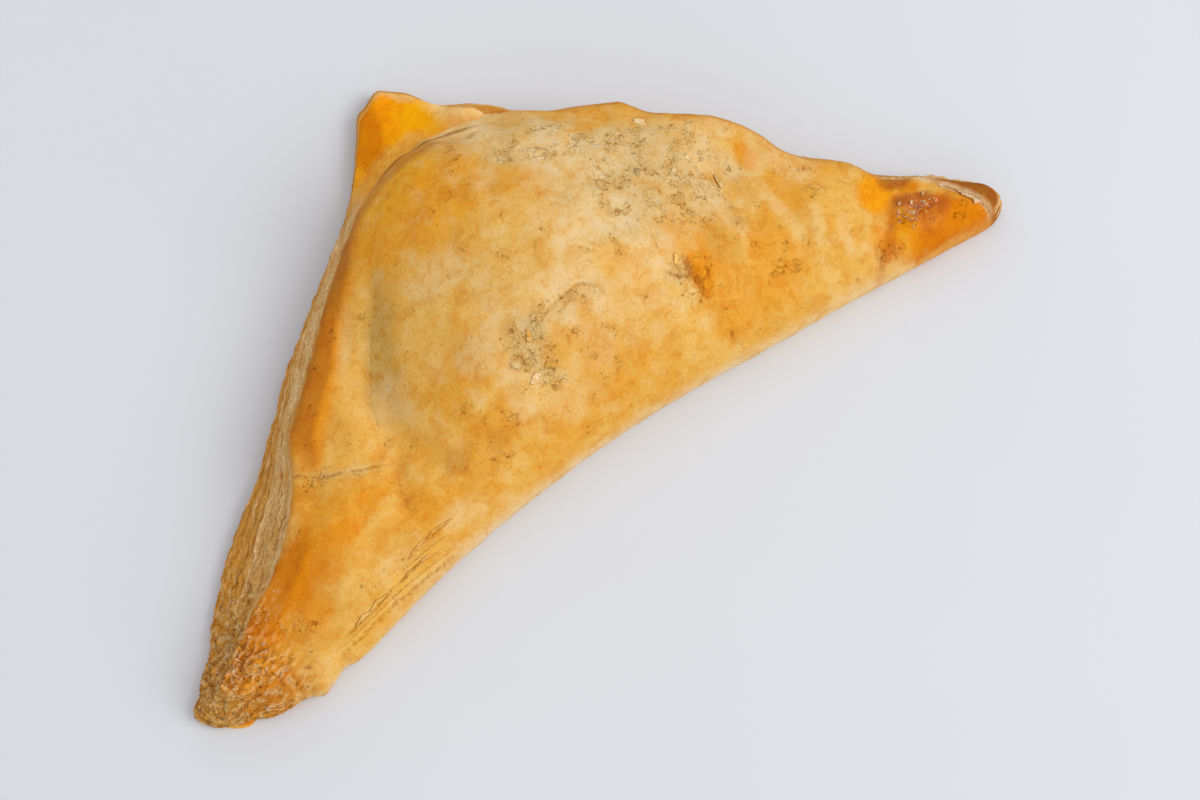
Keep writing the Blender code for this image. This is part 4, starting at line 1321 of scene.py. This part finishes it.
def oven_mottle():
    """Cloudy browning: warmer, darker patches and paler ones, with a fine baked grain."""
    takes = {"Tone": (COLOUR, (0.7, 0.4, 0.1, 1)), "Amount": (VALUE, 1.0), "Size": (VALUE, 3.0)}
    net, given, out = new_effect("oven_mottle", takes, {"Color": COLOUR, "Height": VALUE})
    tone, amount = given["Tone"], given["Amount"]
    where = net.place()
    cloud = net.noise(net.place(given["Size"]), 1.0, 5.0, 0.6, 0.5)
    fleck = net.noise(where, 0.75, 3.0, 0.6)
    grain = net.noise(where, 0.28, 2.0, 0.6)
    warm = net.times(net.times(net.step(cloud, 0.50, 0.60), 0.8), amount)
    pale = net.times(net.times(net.step(cloud, 0.48, 0.38), 0.6), amount)
    colour = net.tint(warm, tone, 0.93, 0.76, 0.48)
    colour = net.blend(pale, colour, net.tint(1.0, colour, 1.03, 1.12, 1.55))
    speckled = net.times(net.step(fleck, 0.52, 0.70), net.times(amount, 0.8))
    colour = net.tint(speckled, colour, 0.86, 0.72, 0.50)
    shade = net.step(grain, 0.25, 0.75, 0.92, 1.08)
    shade = net.add("CombineColor", red=shade, green=shade, blue=shade).outputs[0]
    colour = net.blend(1.0, colour, shade, "MULTIPLY")
    net.feed(out, {"Color": colour, "Height": net.plus(net.times(fleck, 0.55), net.times(grain, 0.3))})
    return net.tree


def dry_crackle():
    """Fine flaking of dry crust: short soft brown dashes, thin curved cracks, and pale lifted flecks."""
    takes = {"Amount": (VALUE, 0.5), "Size": (VALUE, 1.0)}
    net, given, out = new_effect("crackle", takes, {"Dark": VALUE, "Pale": VALUE})
    where = net.place(given["Size"])
    fleck = net.noise(where, 1.0, 2.0, 0.5, 0.7)
    curve = net.noise(where, 2.6, 2.0, 0.5, 0.4)
    clusters = net.noise(net.place(), 3.3, 3.0, 0.6)
    need = net.minus(0.69, net.times(given["Amount"], 0.27))
    gate = net.step(net.minus(clusters, need), -0.03, 0.08)
    line = net.step(net.calc("ABSOLUTE", net.minus(curve, 0.5)), 0.04, 0.0)
    dark = net.calc("MAXIMUM", net.step(fleck, 0.55, 0.68), net.times(line, 0.4))
    dark = net.times(dark, gate)
    beside = net.times(net.step(net.minus(curve, 0.5), 0.03, 0.06), net.step(curve, 0.61, 0.56))
    pale = net.calc("MAXIMUM", net.step(fleck, 0.45, 0.34), net.times(beside, 0.6))
    pale = net.times(pale, gate)
    net.feed(out, {"Dark": dark, "Pale": net.minus(pale, dark, clamp=True)})
    return net.tree


def long_crack():
    """A long crack, read from how far away it is: a broken dark line with a pale lip on its left."""
    takes = {"Crack": (VECTOR, (0, 0, 0)), "Width": (VALUE, 0.3), "Wobble": (VALUE, 0.9)}
    net, given, out = new_effect("long_crack", takes, {"Dark": VALUE, "Pale": VALUE})
    away, strength, lip = net.parts(given["Crack"])
    where, width = net.place(), given["Width"]
    drift = net.minus(net.noise(where, 1.6, 3.0, 0.6), 0.5)
    away = net.plus(away, net.times(drift, given["Wobble"]))
    broken = net.step(net.noise(where, 0.75, 2.0), 0.42, 0.56)
    line = net.calc("DIVIDE", net.calc("ABSOLUTE", away), width)
    dark = net.times(net.step(line, 1.3, 0.3), net.times(strength, broken))
    edge = net.calc("DIVIDE", net.minus(away, net.times(width, 1.9)), width)
    pale = net.times(net.step(net.calc("ABSOLUTE", edge), 1.5, 0.4), net.times(strength, lip))
    net.feed(out, {"Dark": dark, "Pale": net.minus(pale, dark, clamp=True)})
    return net.tree


def scorch_dots():
    """Dark dots where small bubbles scorched."""
    takes = {"Amount": (VALUE, 0.5), "Size": (VALUE, 1.1)}
    net, given, out = new_effect("scorch_dots", takes, {"Mask": VALUE})
    cells = net.add("TexVoronoi", vector=net.place(given["Size"]), scale=1.0).outputs
    which = net.add("SeparateColor", color=cells["Color"]).outputs
    dot = net.step(net.minus(cells["Distance"], net.times(which[1], 0.26)), 0.08, -0.04)
    chosen = net.step(net.minus(given["Amount"], which[0]), 0.35, 0.45)
    net.feed(out, {"Mask": net.times(dot, chosen)})
    return net.tree


def dough_layers():
    """Cut dough: fine lines along the layers, fresh and browned in turn, with dark gaps between."""
    takes = {
        "Tone": (COLOUR, (0.5, 0.3, 0.1, 1)),
        "Layers": (VECTOR, (0, 0, 0)),
        "Browned": (COLOUR, (0.5, 0.2, 0.04, 1)),
    }
    net, given, out = new_effect("dough_layers", takes, {"Color": COLOUR, "Height": VALUE})
    tone, browned = given["Tone"], given["Browned"]
    along, layer, _ = net.parts(given["Layers"])
    stretched = net.add("CombineXYZ", x=net.times(along, 0.3), y=net.times(layer, 2.2)).outputs[0]
    where = net.place()
    fibre = net.noise(stretched, 1.0, 4.0, 0.6)
    crumb = net.noise(where, 0.55, 3.0, 0.6)
    line = net.plus(net.times(fibre, 0.35), net.times(crumb, 0.65))
    patch = net.noise(where, 4.5, 3.0)
    light = net.times(net.step(line, 0.5, 0.62), 0.8)
    dull = net.times(net.step(line, 0.48, 0.37), 0.6)
    colour = net.blend(light, tone, net.tint(1.0, tone, 1.28, 1.36, 1.6))
    colour = net.tint(dull, colour, 0.72, 0.62, 0.5)
    colour = net.blend(net.times(net.step(patch, 0.52, 0.7), 0.5), colour, browned)
    gap = net.calc("ABSOLUTE", net.minus(net.calc("FRACT", layer), 0.5))
    gap = net.times(net.step(gap, 0.40, 0.5), net.step(patch, 0.3, 0.6, 0.35, 1.0))
    colour = net.blend(net.times(gap, 0.6), colour, browned, "MULTIPLY")
    net.feed(out, {"Color": colour, "Height": net.minus(line, net.times(gap, 0.4))})
    return net.tree


@functools.lru_cache(maxsize=1)
def effects():
    """The node groups, built once."""
    makers = oven_mottle, dry_crackle, long_crack, scorch_dots, dough_layers
    return {make.__name__: make() for make in makers}


# ---------------------------------------------------------------- materials


def flaked(net, colour, marks):
    """A colour with dark marks and pale lifted flecks on it."""
    colour = net.tint(net.times(marks["Dark"], 0.85), colour, 0.58, 0.42, 0.28)
    return net.blend(net.times(marks["Pale"], 0.8), colour, net.tint(1.0, colour, 1.12, 1.25, 1.5))


def crust_material(colours):
    """Egg-washed crust, with the bare layers of dough where it was cut."""
    material, net, sockets = new_material("egg_washed_crust")
    tone, layers = net.stored("tone"), net.stored("cut_layers", "Vector")
    specks, crackled, gloss = net.add("SeparateColor", color=net.stored("marks")).outputs
    cut = net.parts(layers)[2]
    mottle = net.effect("oven_mottle", tone=tone, amount=0.8, size=3.4)
    crackle = net.effect("dry_crackle", amount=crackled, size=0.95)
    crack = net.effect("long_crack", crack=net.stored("cracks", "Vector"))
    dots = net.effect("scorch_dots", amount=specks, size=1.15)["Mask"]
    dough = net.effect("dough_layers", tone=tone, layers=layers, browned=(*colours.tan, 1))
    colour = flaked(net, flaked(net, mottle["Color"], crackle), crack)
    colour = net.tint(net.times(dots, 0.7), colour, 0.46, 0.3, 0.18)
    rough = net.plus(
        net.step(gloss, 0.0, 1.0, 0.58, 0.28), net.step(mottle["Height"], 0.3, 0.6, -0.04, 0.06), clamp=True
    )
    sunk, lifted = net.plus(crackle["Dark"], crack["Dark"]), net.plus(crackle["Pale"], crack["Pale"])
    low = net.plus(mottle["Height"], net.times(net.minus(lifted, sunk), 0.7))
    skin = net.bump(net.minus(low, net.times(dots, 0.35)), 0.2)
    net.feed(sockets, {
        "Base Color": net.blend(cut, colour, dough["Color"]),
        "Roughness": net.calc("MAXIMUM", rough, net.times(cut, 0.72)),
        "Coat Weight": net.times(gloss, 0.3),
        "Coat Roughness": 0.2,
        "Specular IOR Level": 0.06,
        "Normal": net.bump(net.times(dough["Height"], cut), 0.4, normal=skin),
    })
    return material


def leaf_material(colours):
    """Thin leaves of cut dough."""
    material, net, sockets = new_material("cut_dough_leaves")
    read = {"tone": net.stored("tone"), "layers": net.stored("cut_layers", "Vector")}
    dough = net.effect("dough_layers", browned=(*colours.tan, 1), **read)
    mottle = net.effect("oven_mottle", tone=dough["Color"], amount=0.5, size=2.0)
    height = net.plus(dough["Height"], net.times(mottle["Height"], 0.4))
    net.feed(sockets, {
        "Base Color": mottle["Color"],
        "Roughness": 0.7,
        "Specular IOR Level": 0.1,
        "Normal": net.bump(height, 0.18),
    })
    return material


def flake_material():
    """Loose flakes and crumbs of baked crust."""
    material, net, sockets = new_material("loose_crust_flakes")
    mottle = net.effect("oven_mottle", tone=net.stored("tone"), amount=0.9, size=1.6)
    dots = net.effect("scorch_dots", amount=0.35, size=0.7)["Mask"]
    net.feed(sockets, {
        "Base Color": net.tint(net.times(dots, 0.5), mottle["Color"], 0.55, 0.38, 0.22),
        "Roughness": net.step(mottle["Height"], 0.25, 0.65, 0.38, 0.6),
        "Specular IOR Level": 0.15,
        "Normal": net.bump(mottle["Height"], 0.1),
    })
    return material


def floor_material(colour):
    """Matt pale floor with a barely uneven tint."""
    material, net, sockets = new_material("pale_floor")
    cloud = net.noise(net.place(), 90.0, 2.0)
    shaded = (*[part * 0.985 for part in colour], 1)
    net.feed(sockets, {
        "Base Color": net.blend(net.step(cloud, 0.3, 0.7), shaded, (*colour, 1)),
        "Roughness": net.step(cloud, 0.3, 0.7, 0.6, 0.66),
        "Specular IOR Level": 0.2,
    })
    return material


# ---------------------------------------------------------------- pieces


def settings_of(context):
    """The shape in millimetres and the tones by name, as the user set them."""
    sizes, colours = context.scene.pastry_sizes, context.scene.pastry_colours
    lengths = [round(getattr(sizes, name) / MM, 4) for name in Shape._fields[:6]]
    shape = Shape(*lengths, sizes.layers, round(sizes.layer_depth / MM, 4))
    return shape, {name: np.array(getattr(colours, name)) for name in PastryColours.__annotations__}


class PASTRY_OT_crust(bpy.types.Operator):
    """Bake the crust over the filling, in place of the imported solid"""

    bl_idname = "pastry.bake_crust"
    bl_label = "Bake Crust"

    def execute(self, context):
        mesh = make_crust_mesh(*settings_of(context))
        crust = finish_piece(mesh, crust_material(context.scene.pastry_colours))
        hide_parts(NODE)
        return {"FINISHED"}


class PASTRY_OT_leaves(bpy.types.Operator):
    """Lay the thin leaves of dough that stand out of the cut edges"""

    bl_idname = "pastry.lay_leaves"
    bl_label = "Lay Cut-Edge Leaves"

    def execute(self, context):
        sizes = context.scene.pastry_sizes
        shape, tones = settings_of(context)
        skin = make_skin(shape)
        rng = np.random.default_rng(LEAF_SEED)
        pile = SheetPile()
        stand = sizes.leaf_reach / MM, sizes.leaf_thickness / MM
        for _ in range(LEAVES):
            leaf_sheet(pile, skin, tones, rng, shape.layers, *stand)
        mesh = pile.mesh("cut_edge_leaves", skin.offset)
        finish_piece(mesh, leaf_material(context.scene.pastry_colours))
        return {"FINISHED"}


class PASTRY_OT_flakes(bpy.types.Operator):
    """Scatter the loose flakes and crumbs of the broken end, the splits and the torn patch, and the pale
    flecks painted as highlights on the dark tip
    """

    bl_idname = "pastry.scatter_flakes"
    bl_label = "Scatter Flakes"

    def execute(self, context):
        shape, tones = settings_of(context)
        ground = Ground(shape, tones)
        rng = np.random.default_rng(FLAKE_SEED)
        pile = SheetPile()
        scatter_end_flakes(pile, ground, tones, rng, context.scene.pastry_sizes.flakes)
        lay_listed_flakes_and_glints(pile, ground, tones, rng)
        scatter_painted_glints(pile, ground, tones, rng)
        if not pile.count:
            raise RuntimeError("no flake found a place on the crust")
        mesh = pile.mesh("loose_flakes", ground.skin.offset)
        finish_piece(mesh, flake_material())
        return {"FINISHED"}


def scatter_end_flakes(pile, ground, tones, rng, count):
    """Thin flakes of the broken left end, in line with the pastry's layers there."""
    laid = 0
    for _ in range(count * 3):
        if laid >= count:
            return
        x = END_TIP + END_REACH * rng.beta(1.0, 2.4)
        y = rng.uniform(-8, 11)
        met = ground.above(x, y)
        if met is None or met[1][2] < 0.15:
            continue
        tone = tones[("cream", "straw", "gold", "tan", "milk", "orange")[rng.integers(6)]]
        tone = between(met[2], tone, rng.uniform(0.2, 0.7))
        size = (rng.uniform(0.22, 0.75), rng.uniform(0.12, 0.32))
        turn = rng.normal(0.05 + 0.55 * ease(-4, 4, y), 0.8)
        flake_sheet(pile, ground, rng, met, tone, size, turn, rng.uniform(0.0, 0.12), CRUMB_THICKNESS)
        laid += 1


def lay_listed_flakes_and_glints(pile, ground, tones, rng):
    """Skins that lifted along the splits, the torn patch, the dark tip and the bared corner, and small pale
    flakes on the dark tip that are painted highlights of its glossy blisters.
    """
    for path, width, lift, tone in (
        (((-52.4, -0.9), (-56.0, -1.7), (-60.4, -2.6)), 0.5, 0.12, "straw"),
        (((-41.5, 0.8), (-45.0, 0.6), (-48.5, -0.1)), 0.4, 0.12, "straw"),
        (SPLIT_TOP[::-1], 0.45, 0.1, "straw"),
        (TIP_LINE, 1.1, 0.3, "milk"),
    ):
        strip_sheet(pile, ground, rng, path, width, lift, tones[tone])
    bowed_sheet(pile, LENS_FLAKE, 1.9, 0.6, tones["tan"], tones["straw"])
    bowed_sheet(pile, LENS_LAMINA, 1.8, 0.2, tones["cream"], tones["straw"])
    bowed_sheet(pile, END_FLAKE, 2.4, 0.3, tones["orange"], tones["straw"])
    for centre, size, turn, lift, tone in (
        ((-9.5, 15.5), (1.3, 0.6), 0.6, 0.3, "cream"), ((-7.0, 21.5), (1.1, 0.5), 1.2, 0.25, "straw"),
        ((-11.5, 19.0), (1.0, 0.5), 2.0, 0.25, "cream"), ((-5.5, 16.0), (1.2, 0.5), 2.6, 0.25, "gold"),
        ((25.0, 20.0), (1.2, 0.5), 1.2, 0.15, "straw"), ((37.0, 48.5), (1.3, 0.6), -0.7, 0.3, "cream"),
        ((44.0, 31.0), (1.4, 0.6), 1.4, 0.25, "ashen"), ((36.0, 36.0), (1.1, 0.5), 0.4, 0.2, "cream"),
        # From (74.5, 6.5) on: small pale flakes on the dark tip, painted highlights of its glossy blisters
        ((29.0, 38.5), (1.1, 0.5), 0.9, 0.2, "ashen"), ((74.5, 6.5), (0.5, 0.3), 0.3, 0.1, "cream"),
        ((73.0, 4.2), (0.45, 0.22), 1.0, 0.1, "straw"), ((76.8, 5.4), (0.4, 0.22), -0.5, 0.1, "straw"),
        ((75.4, 8.4), (0.5, 0.22), 0.8, 0.1, "milk"), ((77.6, 7.0), (0.45, 0.22), 1.9, 0.1, "milk"),
        ((73.9, 6.9), (0.4, 0.2), 0.1, 0.1, "milk"), ((76.2, 9.9), (0.5, 0.2), 2.4, 0.1, "straw"),
        ((78.6, 8.8), (0.4, 0.2), 0.6, 0.1, "milk"), ((72.2, 8.2), (0.5, 0.25), 1.3, 0.1, "milk"),
        ((71.2, 6.4), (0.45, 0.22), 2.2, 0.1, "straw"), ((73.2, 9.4), (0.4, 0.2), 0.5, 0.1, "milk"),
    ):
        met = ground.above(*centre)
        if met:
            flake_sheet(pile, ground, rng, met, tones[tone], size, turn, lift, SCALE_THICKNESS)


def scatter_painted_glints(pile, ground, tones, rng):
    """Tiny pale flecks on the dark tip: painted highlights on its glossy blisters."""
    glint_tone = tones["milk"] * (1.15, 0.82, 0.8)
    for _ in range(PAINTED_GLINTS):
        x, y = rng.normal((75.4, 6.9), (1.9, 1.0))
        size = (rng.uniform(0.16, 0.38), rng.uniform(0.12, 0.24))
        met = ground.above(x, y)
        if met:
            tone = between(met[2], glint_tone, rng.uniform(0.5, 0.95))
            flake_sheet(pile, ground, rng, met, tone, size, rng.uniform(0, 3), 0.0, CRUMB_THICKNESS)


class PASTRY_OT_stage(bpy.types.Operator):
    """Set the pale floor, the soft light and the camera"""

    bl_idname = "pastry.set_stage"
    bl_label = "Set Stage"

    def execute(self, context):
        scene, stage = context.scene, context.scene.pastry_stage
        add_floor(scene, stage)
        add_light(scene, stage)
        add_camera(scene, stage, make_skin(settings_of(context)[0]).offset)
        scene.view_settings.view_transform = "Standard"
        return {"FINISHED"}


def add_floor(scene, stage):
    """A plain pale floor at the pastry's underside."""
    level = min(corner[2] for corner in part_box(NODE))
    corners = [(x * FLOOR_HALF, y * FLOOR_HALF, level) for x, y in ((-1, -1), (1, -1), (1, 1), (-1, 1))]
    mesh = bpy.data.meshes.new("floor")
    mesh.from_pydata(corners, [], [(0, 1, 2, 3)])
    mesh.materials.append(floor_material(stage.floor))
    floor = bpy.data.objects.new("floor", mesh)
    scene.collection.objects.link(floor)


def aimed(scene, name, data, place, aim, roll=0.0):
    """A light or camera at a place, turned to look at its aim."""
    made = bpy.data.objects.new(name, data)
    made.location = place
    made.rotation_mode = "QUATERNION"
    way = Vector(aim) - Vector(place)
    made.rotation_quaternion = way.to_track_quat("-Z", "Y") @ Quaternion((0, 0, 1), math.radians(roll))
    scene.collection.objects.link(made)
    return made


def add_light(scene, stage):
    """Even light from all round, and one large soft light from the fold's right."""
    scene.world = scene.world or bpy.data.worlds.new("soft_surroundings")
    scene.world.use_nodes = True
    background = scene.world.node_tree.nodes["Background"].inputs
    background["Color"].default_value = (*stage.surroundings, 1)
    background["Strength"].default_value = stage.surround_strength
    light = bpy.data.lights.new("soft_key", "AREA")
    light.shape = "DISK"
    light.size = KEY_WIDTH
    light.energy = stage.key_power
    light.color = KEY_TINT
    aimed(scene, "soft_key", light, KEY_PLACE, (0, 0, 0))


def add_camera(scene, stage, offset):
    """A camera over the left of the fold that looks down at the filling."""
    lens = bpy.data.cameras.new("camera")
    lens.sensor_width = SENSOR_WIDTH
    lens.lens = stage.focal_length
    ends = placed(CAMERA_PLACE, offset), placed(CAMERA_AIM, offset)
    scene.camera = aimed(scene, "camera", lens, *ends, CAMERA_ROLL)


class PASTRY_PT_panel(bpy.types.Panel):
    """Sizes, colours and making steps of the pastry"""

    bl_idname = "PASTRY_PT_panel"
    bl_label = "Potato Puff Pastry"
    bl_space_type = "VIEW_3D"
    bl_region_type = "UI"
    bl_category = "Pastry"

    def draw(self, context):
        for group in GROUPS:
            box = self.layout.box()
            for name in GROUPS[group].__annotations__:
                box.prop(getattr(context.scene, group), name)
        for operator in OPERATORS:
            self.layout.operator(operator.bl_idname)


OPERATORS = (PASTRY_OT_crust, PASTRY_OT_leaves, PASTRY_OT_flakes, PASTRY_OT_stage)
GROUPS = {"pastry_sizes": PastrySizes, "pastry_colours": PastryColours, "pastry_stage": PastryStage}


def register():
    for kind in (*GROUPS.values(), *OPERATORS, PASTRY_PT_panel):
        bpy.utils.register_class(kind)
    for name, group in GROUPS.items():
        setattr(bpy.types.Scene, name, bpy.props.PointerProperty(type=group))


def unregister():
    for name in GROUPS:
        delattr(bpy.types.Scene, name)
    for kind in (PASTRY_PT_panel, *reversed(OPERATORS), *reversed(tuple(GROUPS.values()))):
        bpy.utils.unregister_class(kind)


def main():
    register()
    bpy.ops.pastry.bake_crust()
    bpy.ops.pastry.lay_leaves()
    bpy.ops.pastry.scatter_flakes()
    bpy.ops.pastry.set_stage()


if __name__ == "__main__":
    main()
